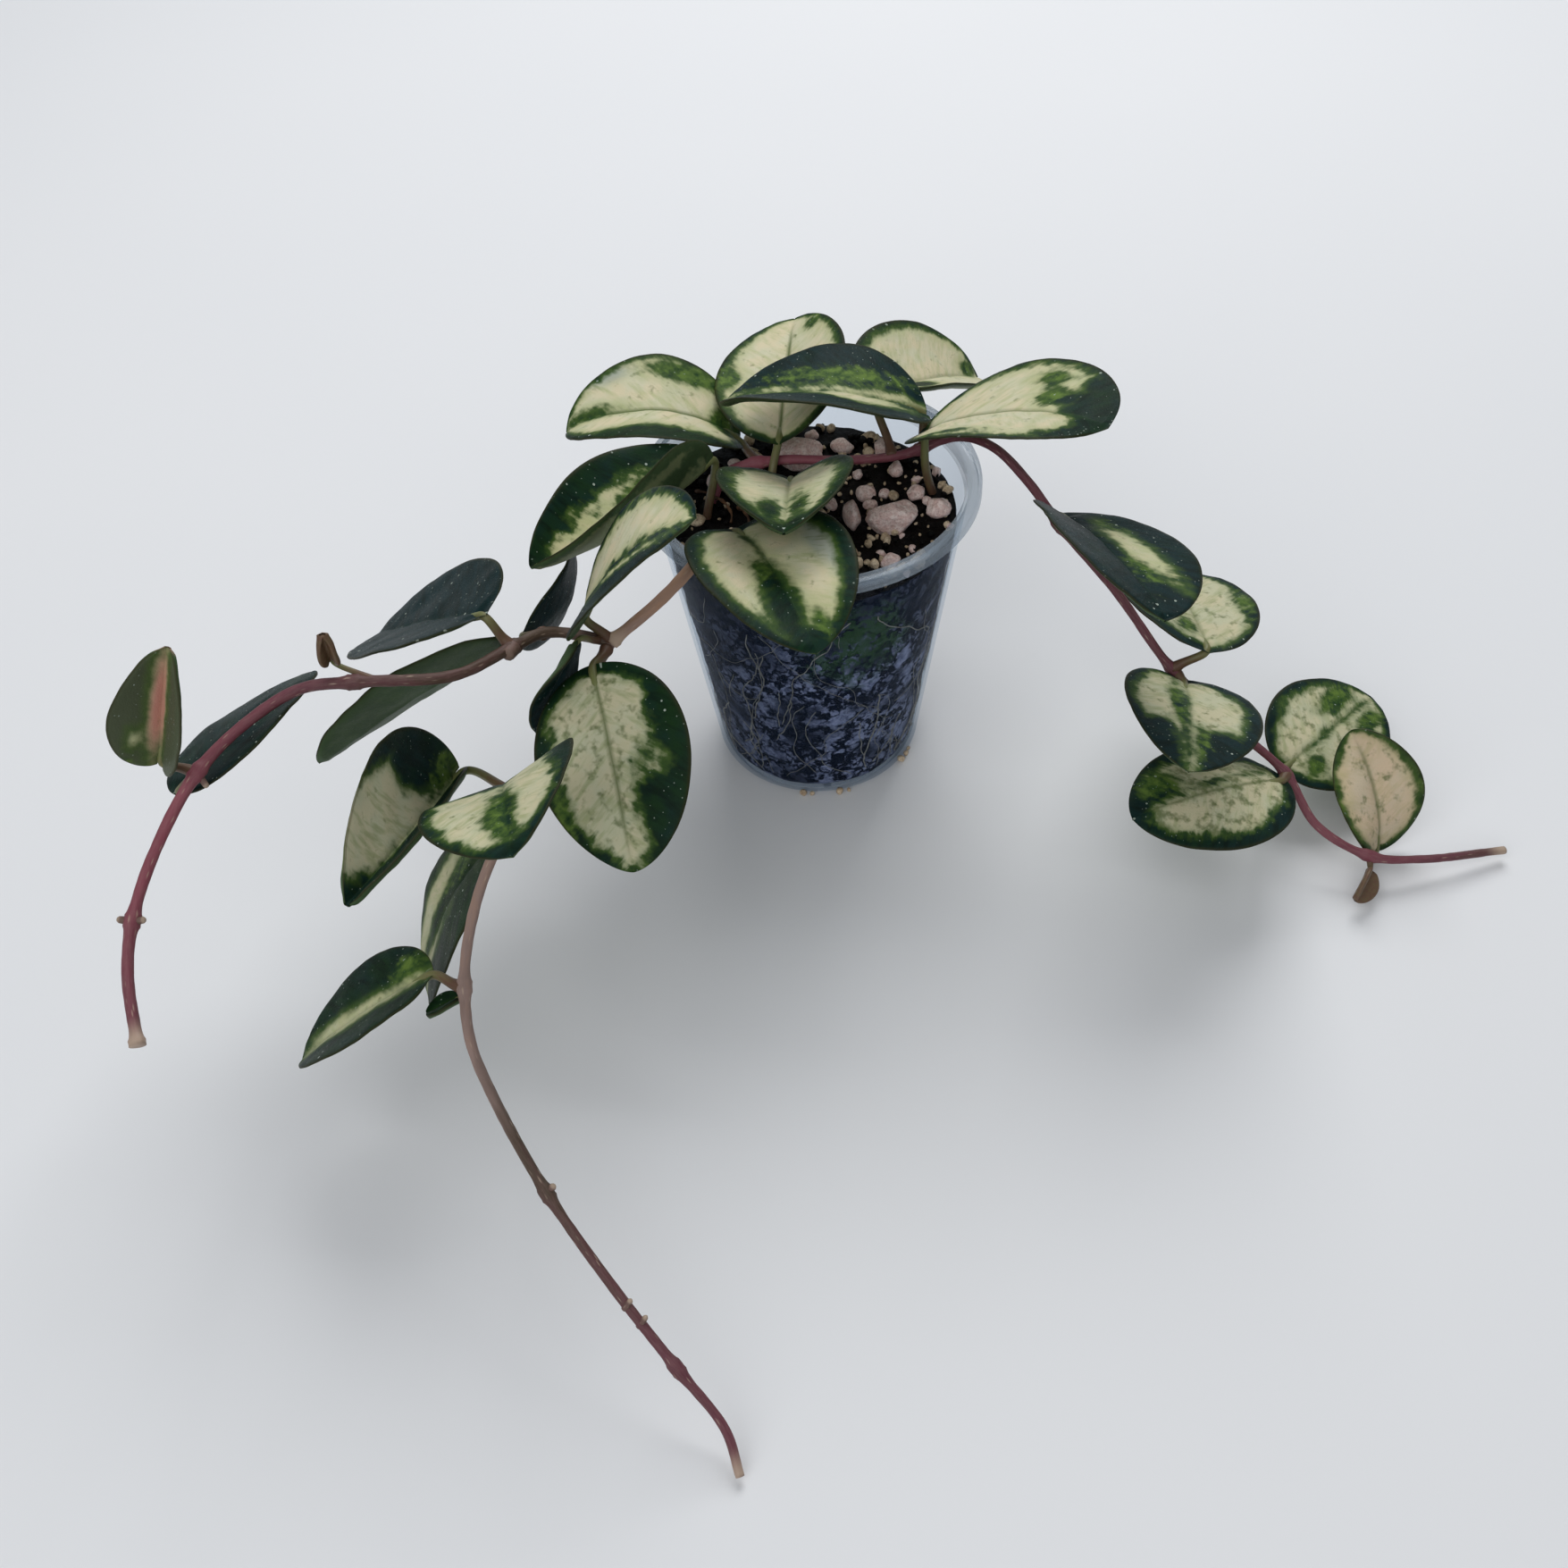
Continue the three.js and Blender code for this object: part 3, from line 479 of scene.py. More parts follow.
    def _green(self, tree: Tree, ways: Ways) -> Wire:
        """Colours the green cells: blue-green, which is partly painted blue reflection, to olive, lime
        where thin, with specks of dry sap.

        Args:
            tree: the material's nodes.
            ways: the point values and noises, by name.

        Returns:
            Their colour.
        """
        mottled = add_node(tree, "Math", {0: ways["broad"], 1: 0.9, 2: ways["tone"]}, **SCALE_AND_ADD)
        base = lay_over(tree, self.blue, self.leaf_green, mottled, 0.45, 1.2, **SMOOTH)
        deep = lay_over(tree, base, self.deep, ways["streaks"], 0.4, 0.65, 0.65)
        aged = lay_over(tree, deep, self.olive, mottled, 1.25, 1.7, 0.9)
        edge = add_node(tree, "Math", {0: ways["streaks"], 1: 6.0, 2: ways["lime"]}, **SCALE_AND_ADD)
        cloudy = add_node(tree, "Math", {0: ways["cloud"], 1: 4.0, 2: edge}, **SCALE_AND_ADD)
        is_lime = add_node(tree, "MapRange", {0: cloudy, 1: 4.2, 2: 7.4}, **SMOOTH)
        bright = lay_over(tree, self.fringe, self.lime, ways["cloud"], 0.36, 0.62)
        limed = add_node(tree, "Mix", {0: is_lime, 6: aged, 7: bright}, **COLOURS)
        for pitch, least, reach, share in (
            (self.speck_pitch_mm, 0.5, 0.17, 0.85), (self.dust_pitch_mm, 0.3, 0.2, 0.5),
        ):
            cells = add_node(tree, "TexVoronoi", {"Vector": ways["flat"], "Scale": 1 / pitch})
            size = add_node(
                tree, "MapRange", {0: cells.outputs["Color"], 1: least, 2: 0.95, 3: 0.0, 4: reach}
            )
            inside = add_node(
                tree, "Math", {0: cells.outputs["Distance"], 1: size}, operation="LESS_THAN"
            )
            faint = add_node(tree, "Math", {0: inside, 1: share}, operation="MULTIPLY")
            limed = add_node(tree, "Mix", {0: faint, 6: limed, 7: self.speck}, **COLOURS)
        return limed

    def _cream(self, tree: Tree, ways: Ways, depth: Wire) -> Wire:
        """Colours the cells with no green: warm to greenish cream, greener near the border, blotched;
        where the leaf's grey share is set, painted shade turns it grey.

        Args:
            tree: the material's nodes.
            ways: the point values and noises, by name.
            depth: how deep a point lies in the cream.

        Returns:
            Their colour.
        """
        ground = lay_over(tree, self.cream, self.cream_warm, ways["broad"], 0.35, 0.65, **SMOOTH)
        washed = lay_over(tree, ground, self.cream_green, ways["streaks"], 0.46, 0.72, 0.7)
        border = add_node(tree, "MapRange", {0: depth, 1: 3.4, 2: 0.3, 3: 0.0, 4: 0.55}, **SMOOTH)
        # Greenish border cream, mixed toward the grey painted shade by the leaf's grey share
        shaded = add_node(
            tree, "Mix", {0: ways["grey"], 6: self.cream_green, 7: self.cream_painted_shade}, **COLOURS
        )
        # Painted shade: grey over the whole cream, by the leaf's grey share
        painted_shade_share = add_node(tree, "Math", {0: ways["grey"], 1: 0.75}, operation="MULTIPLY")
        most = add_node(tree, "Math", {0: border, 1: painted_shade_share}, operation="MAXIMUM")
        edged = add_node(tree, "Mix", {0: most, 6: washed, 7: shaded}, **COLOURS)
        # Vein streaks show within the grey painted shade
        stripe = add_node(tree, "MapRange", {0: ways["streaks"], 1: 0.5, 2: 0.66, 3: 0.0, 4: 0.5})
        striped = add_node(tree, "Math", {0: stripe, 1: ways["grey"]}, operation="MULTIPLY")
        lined = add_node(tree, "Mix", {0: striped, 6: edged, 7: self.vein_line}, **COLOURS)
        flushed = add_node(tree, "Mix", {0: ways["blush"], 6: lined, 7: self.blush}, **COLOURS)
        spots = add_node(tree, "Math", {0: ways["freckle"], 1: 0.22, 2: ways["cloud"]}, **SCALE_AND_ADD)
        return lay_over(tree, flushed, self.vein_line, spots, 0.6, 0.84, 0.75, **SMOOTH)

    def _under(self, tree: Tree, ways: Ways, is_cream: Wire) -> Wire:
        """Colours the dull underside, where the cream of the upper face shows through a little.

        Args:
            tree: the material's nodes.
            ways: the point values and noises, by name.
            is_cream: 1 in the cream and 0 in the green.

        Returns:
            Its colour.
        """
        shade = add_node(tree, "Mix", {0: ways["cloud"], 6: self.under, 7: self.under_deep}, **COLOURS)
        faint = add_node(tree, "Math", {0: is_cream, 1: 0.8}, operation="MULTIPLY")
        through = add_node(tree, "Mix", {0: faint, 6: shade, 7: self.under_pale}, **COLOURS)
        return add_node(tree, "Mix", {0: ways["blush"], 6: through, 7: self.blush}, **COLOURS)


@dataclass(frozen=True)
class StemSkin:
    """Hoya stem: a thin corky bark, tan where it is old and wine red where it is young.

    Long fine wrinkles and pale breathing pores break up the colour, and it has a dull gloss. The
    pores are drawn about twice as far apart as real ones, so that they show.
    """

    name: str = "hoya_stem_bark"
    tan: str = "#ab8468"
    grey: str = "#927b73"
    brown: str = "#443424"
    wine: str = "#5f2f3a"
    rose: str = "#8c4754"
    pore: str = "#bda893"
    wrinkle_mm: float = 0.5
    patch_mm: float = 2.0
    pore_pitch_mm: float = 1.0

    def build(self) -> bpy.types.Material:
        """Makes the material from the values at the stem's points: bark, tone and pale.

        Returns:
            The finish of both stems.
        """
        material, tree = new_material(self.name)
        bark = add_node(tree, "Attribute", attribute_name="bark").outputs["Vector"]
        tone = add_node(tree, "Attribute", attribute_name="tone").outputs["Fac"]
        pale = add_node(tree, "Attribute", attribute_name="pale").outputs["Fac"]
        wrinkles = add_node(
            tree, "TexNoise",
            {"Vector": bark, "Scale": 1 / self.wrinkle_mm, "Detail": 4.0, "Roughness": 0.65},
        )
        patches = add_node(
            tree, "TexNoise", {"Vector": bark, "Scale": 1 / self.patch_mm, "Detail": 3.0}
        )
        swing = add_node(tree, "Math", {0: patches, 1: 0.3, 2: tone}, **SCALE_AND_ADD)
        place = add_node(tree, "Math", {0: swing, 1: 0.15}, operation="SUBTRACT")
        ramp = add_node(tree, "ValToRGB", {0: place})
        stops = ramp.color_ramp.elements
        stops[0].position, stops[0].color = 0.0, linear(self.tan)
        stops[1].position, stops[1].color = 1.0, linear(self.rose)
        for position, colour in ((0.22, self.grey), (0.42, self.brown), (0.65, self.wine)):
            stops.new(position).color = linear(colour)
        lined = lay_over(tree, ramp, self.grey, wrinkles, 0.4, 0.7, 0.2)
        cells = add_node(tree, "TexVoronoi", {"Vector": bark, "Scale": 1 / self.pore_pitch_mm})
        pored = add_node(
            tree, "MapRange", {0: cells.outputs["Distance"], 1: 0.08, 2: 0.22, 3: 0.42, 4: 0.0}
        )
        most = add_node(tree, "Math", {0: pored, 1: pale}, operation="MAXIMUM")
        colour = add_node(tree, "Mix", {0: most, 6: lined, 7: self.pore}, **COLOURS)
        rough = add_node(tree, "MapRange", {0: wrinkles, 1: 0.3, 2: 0.7, 3: 0.5, 4: 0.68})
        end_material(tree, {"Base Color": colour, "Roughness": rough, "IOR": 1.45}, wrinkles, 0.6, 0.2)
        return material


@dataclass(frozen=True)
class MineralGrain:
    """A broken mineral or earthy surface: pumice, grit or potting soil.

    Pumice is matt, pinkish and full of pits. Soil is near black, with paler fibres and crumbs.
    """

    name: str
    low: str
    high: str
    # Colour in the hollows of the pits, darker than the ground
    hollow_colour: str
    pit_mm: float
    pit_depth_mm: float
    roughness: float = 0.9
    shine: float = 0.4

    def build(self) -> bpy.types.Material:
        """Makes the material from object coordinates, in metres.

        Returns:
            The finish.
        """
        material, tree = new_material(self.name)
        place = add_node(tree, "TexCoord").outputs["Object"]
        clouds = add_node(
            tree, "TexNoise",
            {"Vector": place, "Scale": 0.35 / (self.pit_mm * MM), "Detail": 5.0, "Roughness": 0.6},
        )
        pits = add_node(
            tree, "TexNoise",
            {"Vector": place, "Scale": 1 / (self.pit_mm * MM), "Detail": 3.0, "Roughness": 0.7},
        )
        ground = lay_over(tree, self.low, self.high, clouds, 0.35, 0.65, **SMOOTH)
        hollow = add_node(tree, "MapRange", {0: pits, 1: 0.34, 2: 0.52, 3: 0.75, 4: 0.0})
        colour = add_node(tree, "Mix", {0: hollow, 6: ground, 7: self.hollow_colour}, **COLOURS)
        end_material(
            tree, {"Base Color": colour, "Roughness": self.roughness, "Specular IOR Level": self.shine},
            pits, 0.8, self.pit_depth_mm,
        )
        return material


@dataclass(frozen=True)
class MouldedPlastic:
    """Thin clear polypropylene, injection moulded: glossy, a little cloudy, whiter where it is thick.

    It shows what is behind it, with a faint milky haze, and mirrors the lamps more at a slant.
    """

    name: str
    tint: str
    haze: float
    slant_haze: float
    roughness: float
    ripple_mm: float = 7.0

    def build(self) -> bpy.types.Material:
        """Makes the material: clear where it faces the eye and glossy at a slant.

        Returns:
            The finish.
        """
        material, tree = new_material(self.name)
        place = add_node(tree, "TexCoord").outputs["Object"]
        ripple = add_node(
            tree, "TexNoise", {"Vector": place, "Scale": 1 / (self.ripple_mm * MM), "Detail": 3.0}
        )
        gloss = add_node(
            tree, "MapRange",
            {0: ripple, 1: 0.3, 2: 0.7, 3: self.roughness * 0.7, 4: self.roughness * 1.4},
        )
        bump = add_node(tree, "Bump", {"Strength": 0.3, "Distance": 0.0004, "Height": ripple})
        clear = add_node(tree, "BsdfTransparent", {"Color": "#f2f6fa"})
        body = add_node(
            tree, "BsdfPrincipled",
            {"Base Color": self.tint, "Roughness": gloss, "IOR": 1.49, "Normal": bump},
        )
        slant = add_node(tree, "LayerWeight", {"Blend": 0.35}).outputs["Facing"]
        share = add_node(tree, "MapRange", {0: slant, 1: 0.0, 2: 1.0, 3: self.haze, 4: self.slant_haze})
        mixed = add_node(tree, "MixShader", {0: share, 1: clear, 2: body})
        add_node(tree, "OutputMaterial", {"Surface": mixed})
        return material


@dataclass(frozen=True)
class PressedRootBall:
    """The root ball's side behind the wall: wet, near black mix with pale pumice pressed to it.

    The pumice bits are soft edged through the cloudy wall, with a green film of algae where light reaches
    the wall.
    Their bluish grey and the navy of the mix are painted reflection of a blue surface.
    """

    name: str = "root_ball_side"
    # Painted reflection: the navy tint of these colours stands for a blue surface; under it the mix is
    # near black and the pumice pale.
    mix: str = "#050912"
    mix_high: str = "#111e33"
    stone: str = "#b0b4cf"
    stone_low: str = "#454b68"
    algae: str = "#3a582e"
    algae_place: Point = (9.0, -30.0, 55.0)
    algae_reach_mm: float = 22.0
    stone_mm: float = 4.4
    grit_mm: float = 1.9
    fines_mm: float = 2.1
    shake_mm: float = 3.125
    grain_mm: float = 1.4286
    cloud_mm: float = 10.526

    def _bits(self, tree: Tree, place: Wire, size_mm: float, least: float, largest: float) -> Wire:
        """Makes a mask of stone pieces of about one size.

        Args:
            tree: the material's nodes.
            place: the coordinates, in metres.
            size_mm: distance between the pieces.
            least: the share of places that hold none.
            largest: the largest piece's reach, in shares of that distance.

        Returns:
            1 inside a piece and 0 in the mix.
        """
        cells = add_node(tree, "TexVoronoi", {"Vector": place, "Scale": 1 / (size_mm * MM)})
        reach = add_node(
            tree, "MapRange", {0: cells.outputs["Color"], 1: least, 2: 0.85, 3: 0.0, 4: largest}
        )
        inside = add_node(tree, "Math", {0: reach, 1: cells.outputs["Distance"]}, operation="SUBTRACT")
        return add_node(tree, "MapRange", {0: inside, 1: -0.08, 2: 0.12}, **SMOOTH)

    def build(self) -> bpy.types.Material:
        """Makes the material from object coordinates, in metres.

        Returns:
            The finish.
        """
        material, tree = new_material(self.name)
        place = add_node(tree, "TexCoord").outputs["Object"]
        shake = add_node(
            tree, "TexNoise", {"Vector": place, "Scale": 1 / (self.shake_mm * MM), "Detail": 3.0}
        ).outputs["Color"]
        shift = add_node(tree, "VectorMath", {0: shake, 1: (0.5, 0.5, 0.5)}, operation="SUBTRACT")
        moved = add_node(
            tree, "VectorMath", {0: shift, 1: (0.006, 0.006, 0.006), 2: place}, **SCALE_AND_ADD
        )
        large = self._bits(tree, moved, self.stone_mm, 0.1, 0.7)
        small = self._bits(tree, moved, self.grit_mm, 0.25, 0.62)
        grain = add_node(
            tree, "TexNoise",
            {"Vector": place, "Scale": 1 / (self.grain_mm * MM), "Detail": 4.0, "Roughness": 0.65},
        )
        cloud = add_node(
            tree, "TexNoise", {"Vector": place, "Scale": 1 / (self.cloud_mm * MM), "Detail": 2.0}
        )
        fines = add_node(
            tree, "TexNoise",
            {"Vector": moved, "Scale": 1 / (self.fines_mm * MM), "Detail": 3.0, "Roughness": 0.6},
        )
        dusty = add_node(tree, "MapRange", {0: fines, 1: 0.51, 2: 0.64}, **SMOOTH)
        coarse = add_node(tree, "Math", {0: large, 1: small}, operation="MAXIMUM")
        bits = add_node(tree, "Math", {0: coarse, 1: dusty}, operation="MAXIMUM")
        held = add_node(tree, "MapRange", {0: cloud, 1: 0.38, 2: 0.56, 3: 0.15, 4: 1.0})
        split = add_node(tree, "SeparateXYZ", {0: place})
        low = add_node(tree, "MapRange", {0: split.outputs["Z"], 1: 0.066, 2: 0.042, 3: 0.2, 4: 1.0})
        # Pale bits are sparse on the left side of the wall: painted shade there.
        sunny = add_node(tree, "MapRange", {0: split.outputs["X"], 1: -0.03, 2: -0.004, 3: 0.3, 4: 1.0})
        sparse = add_node(tree, "Math", {0: low, 1: sunny}, operation="MULTIPLY")
        packed = add_node(tree, "Math", {0: held, 1: sparse}, operation="MULTIPLY")
        shown = add_node(tree, "Math", {0: bits, 1: packed}, operation="MULTIPLY")
        ground = add_node(tree, "Mix", {0: grain, 6: self.mix, 7: self.mix_high}, **COLOURS)
        rock = lay_over(tree, self.stone_low, self.stone, grain, 0.3, 0.62)
        mixed = add_node(tree, "Mix", {0: shown, 6: ground, 7: rock}, **COLOURS)
        away = add_node(
            tree, "VectorMath", {0: place, 1: tuple(v * MM for v in self.algae_place)},
            operation="DISTANCE",
        ).outputs["Value"]
        near = add_node(
            tree, "MapRange", {0: away, 1: self.algae_reach_mm * MM, 2: 0.0, 3: 0.0, 4: 1.0}
        )
        patchy = add_node(tree, "MapRange", {0: fines, 1: 0.4, 2: 0.56, 3: 0.35, 4: 1.0})
        film = add_node(tree, "Math", {0: near, 1: cloud}, operation="MULTIPLY")
        broken = add_node(tree, "Math", {0: film, 1: patchy}, operation="MULTIPLY")
        colour = lay_over(tree, mixed, self.algae, broken, 0.13, 0.3, 0.8)
        relief = add_node(tree, "Math", {0: shown, 1: 0.8, 2: grain}, **SCALE_AND_ADD)
        rough = add_node(tree, "MapRange", {0: grain, 1: 0.3, 2: 0.7, 3: 0.5, 4: 0.85})
        end_material(
            tree, {"Base Color": colour, "Roughness": rough, "Specular IOR Level": 0.12},
            relief, 0.6, 0.6,
        )
        return material


@dataclass(frozen=True)
class Patch:
    """One coloured patch of a blade, an ellipse in shares of the blade's length and half width."""

    mark: Mark
    x: float
    y: float
    reach_x: float
    reach_y: float
    turn: float = 0.0

    def depth(self, along: np.ndarray, across: np.ndarray, length: float, half: float) -> np.ndarray:
        """Measures how deep points lie inside the patch.

        Args:
            along: the points' shares of the blade's length.
            across: their shares of its half width.
            length: the blade's length.
            half: its half width.

        Returns:
            The depths in millimetres, below 0 outside the patch.
        """
        angle = math.radians(self.turn)
        dx, dy = (along - self.x) * length, (across - self.y) * half
        u = (dx * math.cos(angle) + dy * math.sin(angle)) / (self.reach_x * length)
        v = (dy * math.cos(angle) - dx * math.sin(angle)) / (self.reach_y * half)
        return (1 - np.hypot(u, v)) * min(self.reach_x * length, self.reach_y * half)


@dataclass(frozen=True)
class Leaf:
    """One leaf: a thick folded and arched blade on its own stalk, in millimetres and degrees."""

    name: str
    at: Point
    heading: float
    rise: float
    roll: float
    length: float
    width: float
    fold: float
    arch: float
    cup: float
    skew: float
    twist: float
    slot: str
    root: Point | None = None
    foot: Point | None = None
    bend: Point | None = None
    margins: tuple[float, float] = (3.0, 3.0)
    tone: float = 0.5
    freckle: float = 0.2
    blush: float = 0.0
    # Share of grey painted shade over the whole cream
    grey: float = 0.0
    slim: float = 1.0
    tip: float = 0.62
    ragged: float = 1.0
    rib: float = 0.45
    dark: bool = False
    young: bool = False
    patches: tuple[Patch, ...] = ()

    THICK = 1.5
    EDGE_THICK = 0.9
    BASE_POWER = 0.48
    BASE_LOBE = 0.05
    ROWS = 56
    COLUMNS = 13
    STALK_RADIUS = 1.1
    STALK_END_RADIUS = 0.85
    STALK_SIDES = 12
    STALK_STEP = 0.7
    GAP = 0.3
    SMALL_LENGTH = 30.0
    LEAST_STALK_SCALE = 0.6
    MIDRIB_GROOVE = 0.28
    MIDRIB_WIDTH = 0.9
    NO_CREAM = -9.0

    def axes(self) -> tuple[np.ndarray, np.ndarray, np.ndarray]:
        """Finds the blade's directions at its base.

        Returns:
            Unit vectors along the blade, out of its upper face, and across it.
        """
        heading, rise, roll = (math.radians(v) for v in (self.heading, self.rise, self.roll))
        level = np.array([math.cos(heading), math.sin(heading), 0.0])
        along = level * math.cos(rise) + np.array([0, 0, math.sin(rise)])
        up = -level * math.sin(rise) + np.array([0, 0, math.cos(rise)])
        normal = up * math.cos(roll) + np.cross(up, along) * math.sin(roll)
        return along, normal, np.cross(normal, along)

    def half_width(self, s: np.ndarray) -> np.ndarray:
        """Gives half the blade's width.

        Args:
            s: share of the length.

        Returns:
            The half width there.
        """
        peak = self.BASE_POWER / (self.BASE_POWER + self.tip)
        top = peak**self.BASE_POWER * (1 - peak) ** self.tip
        inner = np.clip(s, 0, 1)
        return self.width / 2 * inner**self.BASE_POWER * (1 - inner) ** self.tip / top

    def face(self, s: np.ndarray, t: np.ndarray) -> np.ndarray:
        """Finds points of the upper face.

        Args:
            s: share of the length, 0 at the base.
            t: share of the half width, from -1 at one edge to 1 at the other.

        Returns:
            The points.
        """
        along, normal, across = (a[None] for a in self.axes())
        arch = math.radians(self.arch or 0.01)
        bend_radius = self.length / arch
        turn = (arch * s)[:, None]
        level, drop = bend_radius * np.sin(turn), bend_radius * (1 - np.cos(turn))
        centre = np.array(self.at) + along * level - normal * drop
        ahead = along * np.cos(turn) - normal * np.sin(turn)
        out = normal * np.cos(turn) + along * np.sin(turn)
        twist = (math.radians(self.twist) * s)[:, None]
        side = across * np.cos(twist) + out * np.sin(twist)
        up = out * np.cos(twist) - across * np.sin(twist)
        reach, sign = np.abs(t), np.sign(t)
        half = self.half_width(s) * np.where(sign > 0, self.slim, 1.0)
        fold = np.radians(self.fold + sign * self.skew)
        cup = math.radians(self.cup or 0.01)
        outward = half * (np.sin(fold + cup * reach) - np.sin(fold)) / cup
        lift = half * (np.cos(fold) - np.cos(fold + cup * reach)) / cup
        lobe = self.BASE_LOBE * self.length * reach**2 * (1 - s) ** 6
        return centre + side * (sign * outward)[:, None] + up * lift[:, None] - ahead * lobe[:, None]

    def face_normal(self, s: np.ndarray, t: np.ndarray) -> np.ndarray:
        """Finds the directions out of the upper face.

        Args:
            s: share of the length.
            t: share of the half width.

        Returns:
            Unit vectors.
        """
        step = 0.02
        inner = np.clip(s, 0.06, 0.94)
        ahead = self.face(inner + step, t) - self.face(inner - step, t)
        wide = self.face(inner, np.minimum(t + step, 1)) - self.face(inner, np.maximum(t - step, -1))
        out = np.cross(ahead, wide)
        return out / np.linalg.norm(out, axis=1)[:, None]

    def fields(self, s: np.ndarray, t: np.ndarray) -> dict[str, np.ndarray]:
        """Turns the blade's marks to smooth fields, which the finish makes ragged.

        Args:
            s: share of the length.
            t: share of the half width there, below 0 on the first side.

        Returns:
            The depths in cream and lime, in millimetres, and the shares of blush and of grey painted
            shade.
        """
        half = self.half_width(s)
        across = t * half / (self.width / 2)
        margin = np.where(t < 0, self.margins[0], self.margins[1])
        cream = (1 - np.abs(t)) * half - margin
        if self.dark:
            cream = np.full_like(s, self.NO_CREAM)
        lime = np.full_like(s, self.NO_CREAM)
        blush = np.full_like(s, self.blush)
        grey = np.full_like(s, self.grey)
        for patch in self.patches:
            depth = patch.depth(s, across, self.length, self.width / 2)
            # Grey patches are painted shade on the cream.
            if patch.mark is Mark.ASHEN:
                grey = np.maximum(grey, smooth_step(-1.0, 3.0, depth))
            elif patch.mark is Mark.CREAM:
                cream = np.maximum(cream, depth)
            elif patch.mark is Mark.BLUSH:
                cream = np.maximum(cream, depth)
                blush = np.maximum(blush, smooth_step(-1.0, 1.5, depth))
            else:
                cream = np.minimum(cream, -depth)
                lime = np.maximum(lime, depth) if patch.mark is Mark.LIME else np.minimum(lime, -depth)
        return {"cream": cream, "lime": lime, "blush": blush, "grey": grey}

    def blade(self, piece: PieceMesh) -> None:
        """Adds the blade: two faces that meet in a round edge, with a groove along the midrib.

        Args:
            piece: the leaf's mesh.
        """
        along = (1 - np.cos(np.pi * np.arange(self.ROWS + 1) / self.ROWS)) / 2
        half = (1 - np.cos(np.pi * np.arange(self.COLUMNS + 1) / self.COLUMNS)) / 2
        across = np.concatenate([-half[::-1], half[1:]])
        inner = across[1:-1]
        loop = np.concatenate([across, inner[::-1]])
        upper = np.concatenate([np.ones(len(across)), -np.ones(len(inner))])
        s = np.repeat(along, len(loop))
        t = np.tile(loop, len(along))
        side = np.tile(upper, len(along))
        thick = self.THICK + (self.EDGE_THICK - self.THICK) * t**2
        thick *= np.sqrt(np.clip(1 - t**12, 0, 1)) * np.clip(np.sin(np.pi * s) * 9, 0.25, 1)
        middle = self.THICK + (self.EDGE_THICK - self.THICK) * t**2
        normal = self.face_normal(s, t)
        half_mm = self.half_width(s)
        y = t * half_mm
        groove = np.exp(-((y / self.MIDRIB_WIDTH) ** 2)) * smooth_step(1.0, 0.55, s)
        seed = sum(map(ord, self.name)) * 0.37
        flat = np.stack([s * self.length, y, np.full_like(s, seed)], 1)
        wave = fractal(flat, 9.0, seed) * 0.35 * smooth_step(0, 3, np.minimum(s, 1 - s) * self.length)
        lift = thick / 2 * side - middle / 2 + wave
        lift -= self.MIDRIB_GROOVE * groove * np.where(side > 0, 1.0, 0.6)
        points = self.face(s, t) + normal * lift[:, None]
        ring = len(loop)
        faces = [
            (low + k, low + ring + k, low + ring + (k + 1) % ring, low + (k + 1) % ring)
            for low in range(0, self.ROWS * ring, ring)
            for k in range(ring)
        ]
        slant = flat[:, 0] - 0.8 * np.abs(y)
        length_way = 0.22 * (np.abs(y) + 0.8 * flat[:, 0])
        vein = np.stack([slant, length_way, seed + 20 * (y > 0)], 1)
        rib = np.exp(-((y / 0.42) ** 2)) * smooth_step(1.0, 0.7, s) * self.rib
        piece.add(
            points, faces, 1 if self.young else 0, flat=flat, vein=vein,
            under=(side < 0).astype(float), tone=self.tone, freckle=self.freckle, rib=rib,
            ragged=self.ragged, edge=0.7 * smooth_step(0.93, 0.99, np.abs(t)),
            bark=flat * (0.5, 0.5, 0.0), ripe=0.75, **self.fields(s, t),
        )

    def stalk(self, piece: PieceMesh, stems: np.ndarray, stem_radii: np.ndarray) -> None:
        """Adds the stalk, from inside its stem or its hole in the soil to under the blade.

        Args:
            piece: the leaf's mesh.
            stems: points of every stem's line.
            stem_radii: the radius at each of them.
        """
        along, normal, _ = self.axes()
        scale = min(max(self.length / self.SMALL_LENGTH, self.LEAST_STALK_SCALE), 1)
        end = np.array(self.at) - normal * self.THICK / 2
        if self.root:
            nearest = int(np.argmin(np.linalg.norm(stems - np.array(self.root), axis=1)))
            seat = stems[nearest]
            way = (end - seat) / np.linalg.norm(end - seat)
            begin = seat + way * (stem_radii[nearest] + self.GAP)
            leave = (end - begin) / np.linalg.norm(end - begin)
        else:
            seat = begin = np.array(self.foot, float)
            leave = np.array([0.0, 0.0, 1.0])
        reach = np.linalg.norm(end - begin) * 0.4
        if self.bend:
            curve = catmull_rom([tuple(begin), self.bend, tuple(end)], 12)
        else:
            curve = bezier([begin, begin + leave * reach, end - along * reach, end], 20)
        under = [end + along * d * scale - normal * 0.25 * d / 3 for d in (1.5, 3.0, 5.0)]
        rows = [seat[None], curve, under] if self.root else [curve, under]
        line, distance = spaced(np.vstack(rows), self.STALK_STEP)
        share = distance / distance[-1]
        radii = scale * (self.STALK_RADIUS + (self.STALK_END_RADIUS - self.STALK_RADIUS) * share)
        radii *= 1 + 0.45 * np.exp(-((distance / 2.2) ** 2)) * bool(self.root)
        radii *= 1 - 0.75 * smooth_step(0.86, 1.0, share)
        points, faces, angle = tube(line, radii, self.STALK_SIDES)
        rows = np.concatenate([np.repeat(distance, self.STALK_SIDES), [0, distance[-1]]])
        bark = np.stack([np.cos(angle), np.sin(angle), rows * 0.2 + len(self.name)], 1)
        tone = np.concatenate([np.repeat(share, self.STALK_SIDES), [0, 1]])
        piece.add(points, faces, 1, bark=bark, ripe=1 - tone, flat=0.0 * points, vein=0.0 * points)

